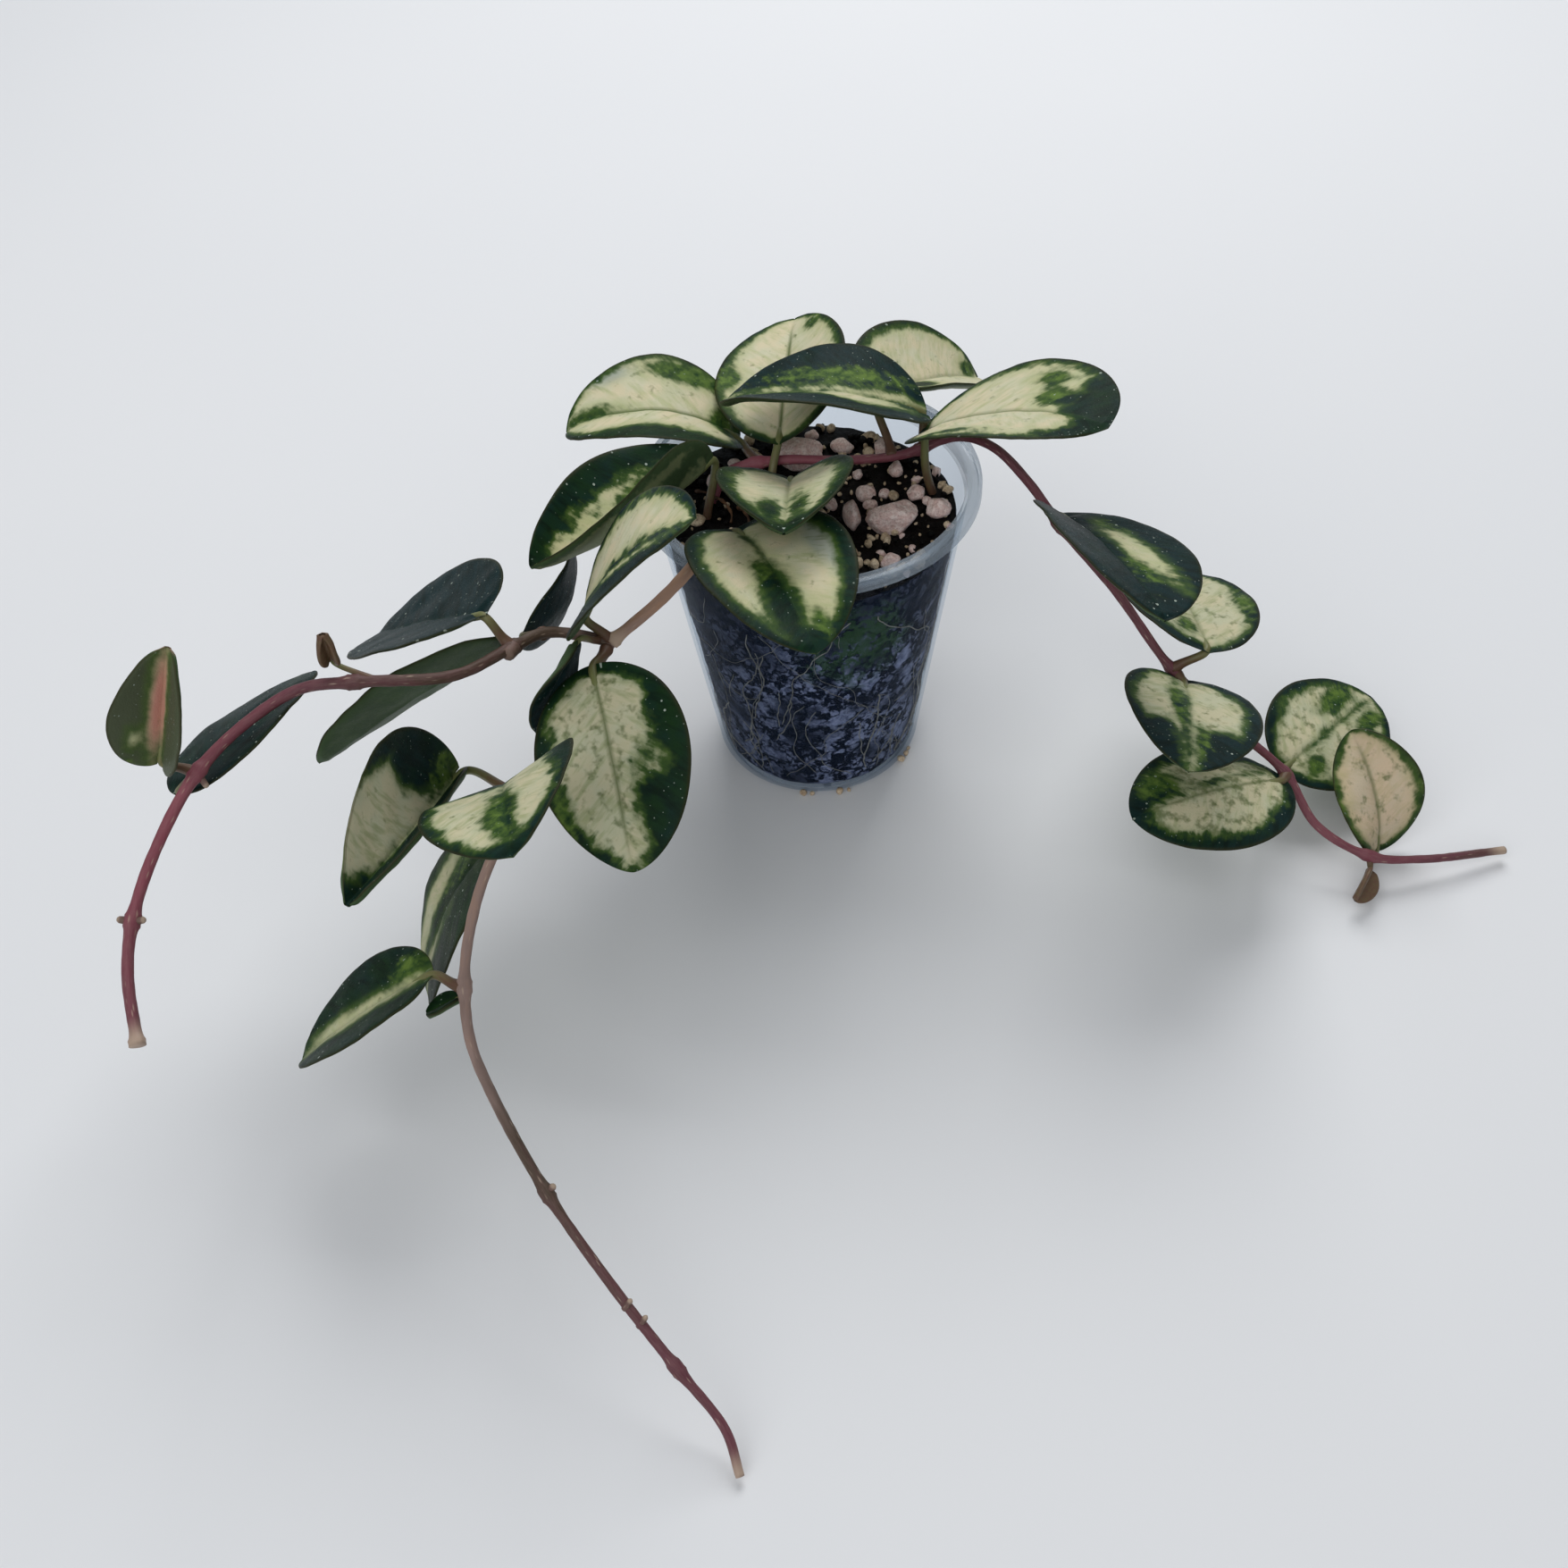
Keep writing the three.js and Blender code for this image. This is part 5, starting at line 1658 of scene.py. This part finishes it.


# A leaf's grey share and its grey patches are painted shade on its cream.
LEAVES: tuple[Leaf, ...] = (
    Leaf(
        "leaf_mouth_left", (-17, 22, 78.5), heading=186, rise=45, roll=8,
        length=44, width=35, fold=12, arch=79, cup=6, skew=5, twist=0,
        slot="leafCream", root=(-12, 11, 78),
        margins=(1.8, 3.2), tone=0.5, freckle=0.1, ragged=0.6, rib=0.95,
        patches=(
            Patch(Mark.DARK, 0.5, 1, 0.62, 0.5),
            Patch(Mark.LIME, 0.3, -0.7, 0.24, 0.16, -8),
            Patch(Mark.DARK, 0.87, -0.06, 0.14, 0.09),
            Patch(Mark.LIME, 0.08, 0, 0.09, 0.3),
            Patch(Mark.ASHEN, 0.75, -0.7, 0.2, 0.25),
        ),
    ),
    Leaf(
        "leaf_mouth_back", (-6.5, 12.5, 84), heading=83, rise=10, roll=9,
        length=44, width=34, fold=12, arch=8, cup=6, skew=-2, twist=-9,
        slot="leafCream", foot=(-9, 4, 68), bend=(-8.5, 6.8, 78),
        margins=(2.4, 2.4), tone=0.4, freckle=0.05, ragged=0.6, rib=0.95,
        patches=(
            Patch(Mark.DARK, 0.95, -0.8, 0.16, 0.3),
            Patch(Mark.LIME, 0.86, -0.4, 0.05, 0.13),
            Patch(Mark.LIME, 0.45, 0.85, 0.12, 0.2),
        ),
    ),
    Leaf(
        "leaf_mouth_dark", (26.5, 11.5, 90), heading=186, rise=30, roll=24,
        length=48, width=38, fold=11, arch=59, cup=6, skew=24, twist=18,
        slot="leafGreen", root=(28, 9, 81),
        tone=0.15, freckle=0.1, ragged=0.7, rib=0.15, dark=True,
        patches=(
            Patch(Mark.LIME, 0.42, -0.34, 0.4, 0.18),
            Patch(Mark.CREAM, 0.42, -0.06, 0.36, 0.05),
            Patch(Mark.CREAM, 0.34, 0.17, 0.22, 0.2, -8),
            Patch(Mark.LIME, 0.74, 0.1, 0.14, 0.1),
        ),
    ),
    Leaf(
        "leaf_mouth_back_right", (18.5, 23.5, 87), heading=50, rise=-16, roll=6,
        length=47, width=37, fold=18, arch=16, cup=8, skew=1, twist=30,
        slot="leafCream", root=(20, 9, 79),
        margins=(1.8, 2.6), tone=0.4, freckle=0.05, ragged=0.5,
        patches=(
            Patch(Mark.LIME, 0.9, 0.1, 0.07, 0.12),
            Patch(Mark.DARK, 0.2, -0.2, 0.14, 0.3),
        ),
    ),
    Leaf(
        "leaf_mouth_right", (27, 6.5, 87), heading=331, rise=40, roll=17,
        length=49.5, width=40, fold=8, arch=39, cup=5, skew=9, twist=2,
        tip=0.46,
        slot="leafCream", foot=(30, 4, 68), bend=(27.5, 4.5, 78),
        margins=(2.2, 2.6), tone=0.4, freckle=0.05, ragged=0.65, rib=0.7,
        patches=(
            Patch(Mark.DARK, 0.98, 0, 0.24, 1.3),
            Patch(Mark.DARK, 0.72, 0.28, 0.12, 0.16),
            Patch(Mark.LIME, 0.66, 0.28, 0.07, 0.18),
            Patch(Mark.LIME, 0.6, 0.62, 0.08, 0.12),
            Patch(Mark.LIME, 0.3, -0.74, 0.2, 0.09),
            Patch(Mark.CREAM, 0.76, -0.3, 0.1, 0.25, 20),
        ),
    ),
    Leaf(
        "leaf_mouth_small", (-4.5, -2.5, 83), heading=266, rise=26, roll=-4,
        length=43, width=33, fold=20, arch=8, cup=9, skew=2, twist=-5,
        slot="leafCream", foot=(-4, 4, 68),
        margins=(4.2, 4.2), tone=0.6, freckle=0.05, grey=0.15, ragged=0.8,
        patches=(
            Patch(Mark.DARK, 0.77, -0.22, 0.16, 0.17),
            Patch(Mark.DARK, 0.66, 0.18, 0.2, 0.13),
            Patch(Mark.DARK, 0.98, 0.1, 0.13, 0.5),
        ),
    ),
    Leaf(
        "leaf_rim_front", (-17, -21, 83.5), heading=291, rise=22, roll=5,
        length=47, width=36, fold=11, arch=41, cup=6, skew=3, twist=1,
        slot="leafCream", root=(-21.5, -18, 79),
        margins=(4, 4.6), tone=0.4, freckle=0.05, ragged=0.45,
        patches=(
            Patch(Mark.DARK, 0.28, -0.03, 0.3, 0.045),
            Patch(Mark.DARK, 0.72, -0.13, 0.34, 0.25, -4),
            Patch(Mark.DARK, 0.97, 0.0, 0.12, 0.4),
            Patch(Mark.LIME, 0.86, 0.2, 0.09, 0.1),
            Patch(Mark.LIME, 0.46, -0.16, 0.08, 0.12),
            Patch(Mark.DARK, 0.1, 0.45, 0.14, 0.16),
            Patch(Mark.ASHEN, 0.42, 0.72, 0.3, 0.3),
        ),
    ),
    Leaf(
        "leaf_rim_left", (-24, 0, 87), heading=227, rise=-12, roll=-39,
        length=50, width=33, fold=44, arch=-25, cup=16, skew=-4, twist=-40,
        slot="leafCream", foot=(-25, -1, 67),
        margins=(7.5, 2.8), tone=0.45, freckle=0.1,
        patches=(
            Patch(Mark.DARK, 0.78, -0.35, 0.13, 0.14),
            Patch(Mark.LIME, 0.3, -0.25, 0.16, 0.2),
            Patch(Mark.DARK, 0.25, 0.35, 0.2, 0.25),
        ),
    ),
    Leaf(
        "leaf_fork_upper", (-51.5, -42, 79.5), heading=332, rise=69, roll=-11,
        length=45, width=34, fold=5, arch=40, cup=5, skew=5, twist=-6,
        slot="leafCream", root=(-46, -43, 72),
        margins=(3, 3.2), tone=0.15, freckle=0.1, ragged=0.8, rib=0.25,
        patches=(
            Patch(Mark.DARK, 0.5, -0.55, 0.75, 0.58),
            Patch(Mark.DARK, 0.88, 0.95, 0.25, 0.35),
            Patch(Mark.LIME, 0.6, 0.86, 0.12, 0.08),
            Patch(Mark.CREAM, 0.62, -0.3, 0.25, 0.045, 6),
        ),
    ),
    Leaf(
        "leaf_fork_large", (-49.5, -54.5, 74), heading=281, rise=-7, roll=2,
        length=46, width=34, fold=-4, arch=45, cup=2, skew=13, twist=12,
        slot="leafCream", root=(-47, -45, 72),
        margins=(4.2, 4.6), tone=0.5, freckle=0.5, grey=0.4, rib=0.75,
        patches=(
            Patch(Mark.DARK, 0.74, 0.58, 0.3, 0.42),
            Patch(Mark.CREAM, 0.5, 0.55, 0.06, 0.15),
            Patch(Mark.LIME, 0.68, -0.78, 0.2, 0.14),
            Patch(Mark.DARK, 0.3, 0.95, 0.4, 0.45),
            Patch(Mark.CREAM, 0.78, -0.1, 0.2, 0.1),
            Patch(Mark.CREAM, 0.75, 0.1, 0.14, 0.06),
        ),
    ),
    Leaf(
        "leaf_fork_narrow", (-52.4, -50.8, 78.2), heading=210.5, rise=-43.7, roll=97,
        length=21, width=18, fold=9.4, arch=-28.6, cup=0, skew=-39.7, twist=39.6,
        slot="leafGreen", root=(-48.5, -43, 72.5),
        tone=0, rib=0.1, dark=True,
    ),
    Leaf(
        "leaf_left_inner", (-64.5, -38.5, 71), heading=45, rise=-11, roll=-98,
        length=34, width=25, fold=-10, arch=59, cup=1, skew=14, twist=-20,
        slot="leafGreen", root=(-60, -45, 77),
        tone=0, rib=0.1, dark=True,
    ),
    Leaf(
        "leaf_left_upper", (-72, -49.5, 88), heading=139, rise=-30, roll=-2,
        length=48, width=37, fold=9, arch=8, cup=6, skew=-5, twist=-2,
        slot="leafGreen", root=(-66, -52, 80),
        tone=-0.1, rib=0.08, dark=True,
    ),
    Leaf(
        "leaf_left_lower", (-69.5, -45, 75), heading=199, rise=-12, roll=-51,
        length=47, width=36, fold=4, arch=15, cup=4, skew=1, twist=3,
        slot="leafUnder", root=(-67, -53, 80),
        tone=0.2, dark=True,
    ),
    Leaf(
        "leaf_left_bud", (-101, -63, 88.5), heading=279, rise=69, roll=-180,
        length=9, width=5, fold=50, arch=18, cup=8, skew=0, twist=1,
        tip=1.1, slot="leafUnder", root=(-92.5, -65, 84.5),
        tone=0.8, blush=0.3, dark=True, young=True,
    ),
    Leaf(
        "leaf_left_behind", (-134, -79, 71.5), heading=56, rise=14, roll=21,
        length=39, width=29, fold=-3, arch=22, cup=3, skew=-3, twist=-11,
        slot="leafGreen", root=(-128, -82, 78),
        tone=0.25, rib=0.1, dark=True,
    ),
    Leaf(
        "leaf_left_end", (-135.5, -80, 80), heading=18, rise=72, roll=-55,
        length=28, width=22, fold=43, arch=4, cup=14, skew=0, twist=7,
        slot="leafUnder", root=(-128, -82, 78),
        tone=1.9, rib=0.3, ragged=0.22, dark=True,
        patches=(
            Patch(Mark.LIME, 0.1, 0.7, 0.08, 0.2),
            Patch(Mark.BLUSH, 0.52, 0.06, 0.48, 0.2, -2),
            Patch(Mark.CREAM, 0.27, 0.5, 0.06, 0.1),
        ),
    ),
    Leaf(
        "leaf_front_outer", (-81.3, -63.1, 53.9), heading=252.6, rise=12.7, roll=5.6,
        length=52.5, width=41.6, fold=46.6, arch=-8.1, cup=29.1, skew=-4, twist=-9.9, slim=0.35,
        slot="leafCream", root=(-65, -76, 60),
        tone=0.3, freckle=0, grey=0.4, ragged=0.6, dark=True,
        patches=(
            Patch(Mark.CREAM, 0.62, -0.42, 0.46, 0.42, -8),
            Patch(Mark.DARK, 0.14, -0.62, 0.26, 0.5),
            Patch(Mark.LIME, 0.07, -0.12, 0.1, 0.2),
            Patch(Mark.CREAM, 0.3, 0.02, 0.24, 0.07),
            Patch(Mark.DARK, 0.87, 0.02, 0.25, 0.09),
        ),
    ),
    Leaf(
        "leaf_front_saddle", (-66.5, -85.5, 72.5), heading=278, rise=52, roll=-5,
        length=45, width=34, fold=7, arch=46, cup=5, skew=11, twist=8,
        slot="leafCream", root=(-65, -76, 60),
        margins=(2.8, 3), tone=0.4, freckle=0.05, grey=0.3, ragged=0.8,
        patches=(
            Patch(Mark.DARK, 0.72, 0.0, 0.38, 0.15),
            Patch(Mark.LIME, 0.68, -0.1, 0.28, 0.14),
            Patch(Mark.DARK, 0.98, 0, 0.1, 0.5),
            Patch(Mark.DARK, 0.3, 0.95, 0.5, 0.35),
            Patch(Mark.DARK, 0.12, 0, 0.14, 0.6),
        ),
    ),
    Leaf(
        "leaf_front_hanging", (-74, -84, 51.5), heading=202, rise=-39, roll=-15,
        length=43, width=33, fold=1, arch=44, cup=4, skew=0, twist=-2,
        slot="leafGreen", root=(-67, -80, 59),
        tone=0.8, freckle=0.1, ragged=0.3, rib=0.1, dark=True,
        patches=(
            Patch(Mark.CREAM, 0.52, -0.5, 0.44, 0.2, 3),
            Patch(Mark.LIME, 0.14, -0.25, 0.16, 0.18),
            Patch(Mark.CREAM, 0.74, 0.04, 0.24, 0.12, -6),
        ),
    ),
    Leaf(
        "leaf_front_low", (-85, -112.5, 47), heading=187, rise=-27, roll=-10,
        length=36, width=27, fold=9, arch=15, cup=6, skew=1, twist=6,
        slot="leafGreen", root=(-76, -117, 48),
        tone=0.45, freckle=0.1, ragged=0.35, rib=0.2, dark=True,
        patches=(
            Patch(Mark.LIME, 0.14, -0.3, 0.12, 0.25),
            Patch(Mark.CREAM, 0.5, 0.03, 0.46, 0.17),
            Patch(Mark.CREAM, 0.72, -0.08, 0.16, 0.14),
        ),
    ),
    Leaf(
        "leaf_front_tiny", (-78.3, -117, 45.2), heading=195, rise=-12, roll=-20,
        length=7.5, width=6, fold=12, arch=15, cup=6, skew=0, twist=0,
        slot="leafGreen", root=(-76, -117, 48),
        tone=0.6, dark=True,
    ),
    Leaf(
        "leaf_right_first", (55.5, -22.5, 83.5), heading=294, rise=16, roll=35,
        length=46, width=36, fold=11, arch=21, cup=6, skew=6, twist=6,
        slot="leafGreen", root=(56, -17, 76),
        tone=0.1, freckle=0.1, ragged=0.6, rib=0.12, dark=True,
        patches=(
            Patch(Mark.LIME, 0.26, 0.36, 0.12, 0.14),
            Patch(Mark.LIME, 0.62, 0.16, 0.16, 0.12),
            Patch(Mark.CREAM, 0.46, 0.36, 0.25, 0.17, 6),
        ),
    ),
    Leaf(
        "leaf_right_second_back", (89.5, -33.5, 51.5), heading=90, rise=-6, roll=-14,
        length=44, width=33, fold=5, arch=23, cup=5, skew=-1, twist=-9,
        slot="leafCream", root=(82, -35, 46),
        margins=(2.8, 4.6), tone=0.2, freckle=0.3, grey=0.3, ragged=0.75,
        patches=(
            Patch(Mark.LIME, 0.42, -0.82, 0.16, 0.12),
            Patch(Mark.LIME, 0.2, 0.18, 0.1, 0.14),
            Patch(Mark.DARK, 0.97, 0.1, 0.14, 0.6),
            Patch(Mark.DARK, 0.5, 0.95, 0.3, 0.3),
        ),
    ),
    Leaf(
        "leaf_right_second_front", (84, -38.5, 45.5), heading=262, rise=25, roll=23,
        length=42, width=32, fold=6, arch=19, cup=5, skew=9, twist=1,
        slot="leafCream", root=(83, -35.5, 45),
        margins=(3.6, 4.2), tone=0.1, freckle=0.35, grey=0.4, ragged=0.7,
        patches=(
            Patch(Mark.DARK, 0.42, -0.12, 0.34, 0.12),
            Patch(Mark.LIME, 0.4, -0.16, 0.36, 0.13),
            Patch(Mark.DARK, 0.97, 0, 0.38, 1.2),
            Patch(Mark.CREAM, 0.68, 0.02, 0.16, 0.04),
            Patch(Mark.LIME, 0.74, 0.16, 0.12, 0.1),
            Patch(Mark.CREAM, 0.66, -0.18, 0.12, 0.03, 12),
        ),
    ),
    Leaf(
        "leaf_right_third_left", (107, -51, 23.5), heading=201, rise=21, roll=-2,
        length=42, width=32, fold=-9, arch=25, cup=1, skew=-1, twist=-13,
        slot="leafCream", root=(109, -48, 22),
        margins=(4.0, 4.6), tone=0.3, freckle=0.7, grey=0.3, rib=0.7,
        patches=(
            Patch(Mark.LIME, 0.78, -0.35, 0.17, 0.3),
            Patch(Mark.DARK, 0.95, -0.2, 0.1, 0.4),
            Patch(Mark.DARK, 0.45, -0.17, 0.45, 0.02, 3),
        ),
    ),
    Leaf(
        "leaf_right_third_right", (112, -40.5, 17), heading=40, rise=0, roll=-24,
        length=41, width=31, fold=-2, arch=18, cup=3, skew=-2, twist=-5,
        slot="leafCream", root=(109, -48, 22),
        margins=(3.4, 3.4), tone=0.3, freckle=0.6, grey=0.3, ragged=0.7,
        patches=(
            Patch(Mark.LIME, 0.72, 0.34, 0.2, 0.2),
            Patch(Mark.LIME, 0.77, -0.3, 0.14, 0.14),
            Patch(Mark.LIME, 0.15, -0.3, 0.08, 0.16),
            Patch(Mark.DARK, 0.65, 0, 0.25, 0.035),
        ),
    ),
    Leaf(
        "leaf_right_end", (132.5, -56.5, 3), heading=93, rise=74, roll=-38,
        length=31, width=23, fold=16, arch=42, cup=8, skew=-2, twist=-54,
        slot="leafBlush", root=(127, -64, 9),
        margins=(1.9, 1.9), tone=0.9, freckle=0.35, blush=0.25, rib=0.6, ragged=0.6,
        patches=(
            Patch(Mark.LIME, 0.4, -0.97, 0.3, 0.12),
            Patch(Mark.LIME, 0.5, 0.97, 0.15, 0.12),
        ),
    ),
    Leaf(
        "leaf_right_bud", (127.5, -67, 7), heading=242, rise=-12, roll=62,
        length=9, width=7, fold=22, arch=18, cup=9, skew=0, twist=-2,
        slot="leafUnder", root=(127, -64, 9),
        tone=0.8, blush=0.5, dark=True, young=True,
    ),
)

RIGHT_STEM = Stem(
    route=(
        (-22, 4, 64), (-23, 5, 71), (-19, 9.5, 76.5), (-8, 11, 78), (10, 9.5, 78), (22, 9, 79),
        (35, 8, 84), (42.7, 0.7, 85.7), (50, -8, 81.5), (56, -17, 76), (69.2, -23.4, 60.6),
        (81.7, -35.2, 45.8), (96, -42, 33), (109, -48, 22), (115, -58, 14.5), (127, -64, 9),
        (140, -63.7, 6.3), (162, -59.5, 2.8),
    ),
    knots=(
        (-12, 11, 78), (27, 9, 80.5), (56, -17, 76), (82, -35, 46), (109, -48, 22), (127, -64, 9),
    ),
    radius=1.15,
    end_radius=0.95,
    tones=(0.95, 0.95, 0.7, 0.62, 0.66, 0.72, 0.8, 0.5),
)

FORK_TRUNK = Stem(
    route=(
        (-20, -6, 64), (-20, -11, 73), (-22, -20, 80), (-24.5, -28, 83.6), (-28.5, -35, 83.4),
        (-35, -39.5, 79.5), (-46, -43, 72),
    ),
    knots=(
        (-46, -43, 72),
    ),
    radius=1.35,
    end_radius=1.3,
    tones=(0.3, 0.06, 0.04, 0.14),
)

LEFT_BRANCH = Stem(
    route=(
        (-46, -43, 72), (-59, -44, 76.5), (-66, -52, 80), (-77, -63, 83), (-97, -65.5, 85),
        (-108, -65.5, 84), (-118, -71, 81.5), (-128, -82, 78), (-136, -98, 71), (-139, -110, 66),
        (-139, -120, 62), (-136, -133, 56.5),
    ),
    knots=(
        (-66, -52, 80), (-97, -65.5, 85), (-128, -82, 78), (-139, -110, 66), (-136, -133, 56.5),
    ),
    radius=1.25,
    end_radius=1.15,
    tones=(0.38, 0.42, 0.48, 0.62, 0.85, 0.97, 0.85, 0.7),
)

FRONT_BRANCH = Stem(
    route=(
        (-46, -43, 72), (-58, -63, 65), (-65, -76, 60), (-73, -94, 54.5), (-76, -107, 50.5),
        (-76.4, -117, 48), (-74.9, -128.1, 44.7), (-70.6, -138.2, 41.3), (-59.7, -156.9, 34.1),
        (-47.9, -171.7, 23.8), (-36.8, -183.9, 14.1), (-28.3, -192.9, 6.1), (-26, -200, 1.6),
    ),
    knots=(
        (-65, -76, 60), (-76, -117, 48), (-60, -157, 34), (-37, -184, 14),
    ),
    radius=1.25,
    end_radius=0.9,
    tones=(0.3, 0.2, 0.2, 0.24, 0.45, 0.62, 0.7),
)

STUBS = (
    Stub((-66, -52, 80), (-0.3, -1, 0.1), 3.2, 2.0, pale=0.1),
    Stub((-139, -110, 66), (-1, 0.1, 0.2), 2.9, 0.9),
    Stub((-139, -110, 66), (1, -0.1, 0.2), 2.9, 0.9),
    Stub((-128, -82, 78), (0.5, -0.6, -0.6), 3.6, 0.8),
    Stub((-60, -157, 34), (0.6, 0.3, 0.6), 2.7, 0.9),
    Stub((-43.5, -177.5, 19), (0.5, 0.2, 0.8), 3.2, 0.7),
    Stub((-46, -175, 21.5), (0.5, 0.2, 0.8), 2.8, 0.7),
)

STONES = (
    Stone("pumice_large", (18.5, -7.5, 73.6), (13, 9.5, 7.5), 20, level=5),
    Stone("pumice_back", (-2, 19.5, 73.6), (13.5, 9.5, 7), -15, level=5),
    Stone("pumice_tall", (9.5, -5, 73.2), (4.2, 8.5, 6.5), 10),
    Stone("pumice_right", (29.6, -4, 72.8), (6, 5, 4.6), 0),
    Stone("pumice_right_small", (25.2, 2.4, 72.6), (4.4, 4.2, 4), 35),
    Stone("pumice_middle", (13.5, 3.5, 72.5), (5, 4.6, 4.2), -30),
    Stone("pumice_front", (17, -22, 72.4), (4.6, 4, 3.8), 15),
    Stone("pumice_back_right", (18.5, 21, 72.8), (4, 7, 4.6), 0),
)

PEBBLES: tuple[Point, ...] = (
    (14.2, -0.2, 3.4), (17.6, 3.9, 3.0), (21.2, 12.1, 4.4), (27.4, -0.4, 2.6), (15.1, -18.8, 2.4),
    (20.5, -12.5, 1.6), (4.8, 0.1, 3.6), (9.0, 21.9, 5.6), (-21.6, 11.3, 6.4), (30.8, 10.8, 3.0),
    (22.5, -17.5, 2.2), (-17.1, 17.6, 4.0), (25.8, 8.5, 2.4), (12.0, 11.9, 3.0), (20.4, -25.7, 1.8),
    (32.0, -9.5, 1.9), (6.0, -14.0, 2.0), (-8.0, -24.0, 2.2), (-28.0, 2.0, 2.6), (2.0, 28.0, 3.4),
)

DEAD_BITS: tuple[tuple[Point, ...], ...] = (
    (
        (-23.0, 5.6, 72.3), (-21.4, 3.4, 73.6), (-19.6, 0.2, 74.0), (-18.6, -2.6, 73.2),
        (-18.9, -4.2, 72.2),
    ),
    ((-17.2, 1.5, 72.2), (-15.6, -1.8, 73.4), (-14.6, -5.4, 73.3), (-14.9, -8.2, 72.3)),
    ((-27.0, 9.0, 72.0), (-25.2, 7.2, 73.0), (-23.4, 7.4, 72.2)),
)


def main() -> None:
    """Builds the plant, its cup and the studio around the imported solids."""
    logging.basicConfig(level=logging.INFO, format="%(message)s")
    cup = Cup()
    # Moulded polypropylene: clear and glossy in the thin wall, milky in the thicker lip; the wall's navy
    # tint is painted reflection of a blue surface
    clear = MouldedPlastic("clear_polypropylene_wall", "#1c2a40", 0.01, 0.13, 0.1).build()
    frosted = MouldedPlastic("clear_polypropylene_lip", "#b4bfca", 0.16, 0.6, 0.14).build()
    cup.build(clear, frosted)
    # Damp peat is near black with a faint wet gloss; grit is tan; pumice is pink, matt and pitted
    mix = MineralGrain("damp_potting_mix", "#050303", "#110c0a", "#010101", 1.1, 0.6, 0.6, 0.14)
    grit = MineralGrain("washed_grit", "#b9a184", "#e6d2b4", "#86725f", 0.7, 0.25).build()
    pumice = MineralGrain("crushed_pumice", "#e3c1b9", "#fbe8e1", "#b8968e", 0.55, 0.4).build()
    # Washed roots are pale grey and fibrous, and the dried stem bits are brown and cracked
    fibre = MineralGrain("root_fibre", "#8d877d", "#b5ada0", "#6c665c", 0.9, 0.1, 0.75)
    dead = MineralGrain("dead_stem", "#4a3020", "#7a5638", "#2c1b12", 1.2, 0.3, 0.7)
    PottingMix(cup).build({
        Filling.MIX: mix.build(),
        Filling.SIDE: PressedRootBall().build(),
        Filling.ROOT: fibre.build(),
        Filling.GRIT: grit,
        Filling.DEAD_STEM: dead.build(),
        Filling.PUMICE: pumice,
    })
    FootGrit().build(grit)
    for seed, stone in enumerate(STONES):
        stone.build(pumice, seed + 11)
    stems = Stems(RIGHT_STEM, FORK_TRUNK, LEFT_BRANCH, FRONT_BRANCH, STUBS)
    stems.build()
    skin = WaxyBlade().build()
    stalk_skin = StalkSkin().build()
    points, radii = stems.lines()
    for leaf in LEAVES:
        leaf.build(skin, stalk_skin, points, radii)
    build_studio()
    build_camera()


if __name__ == "__main__":
    main()
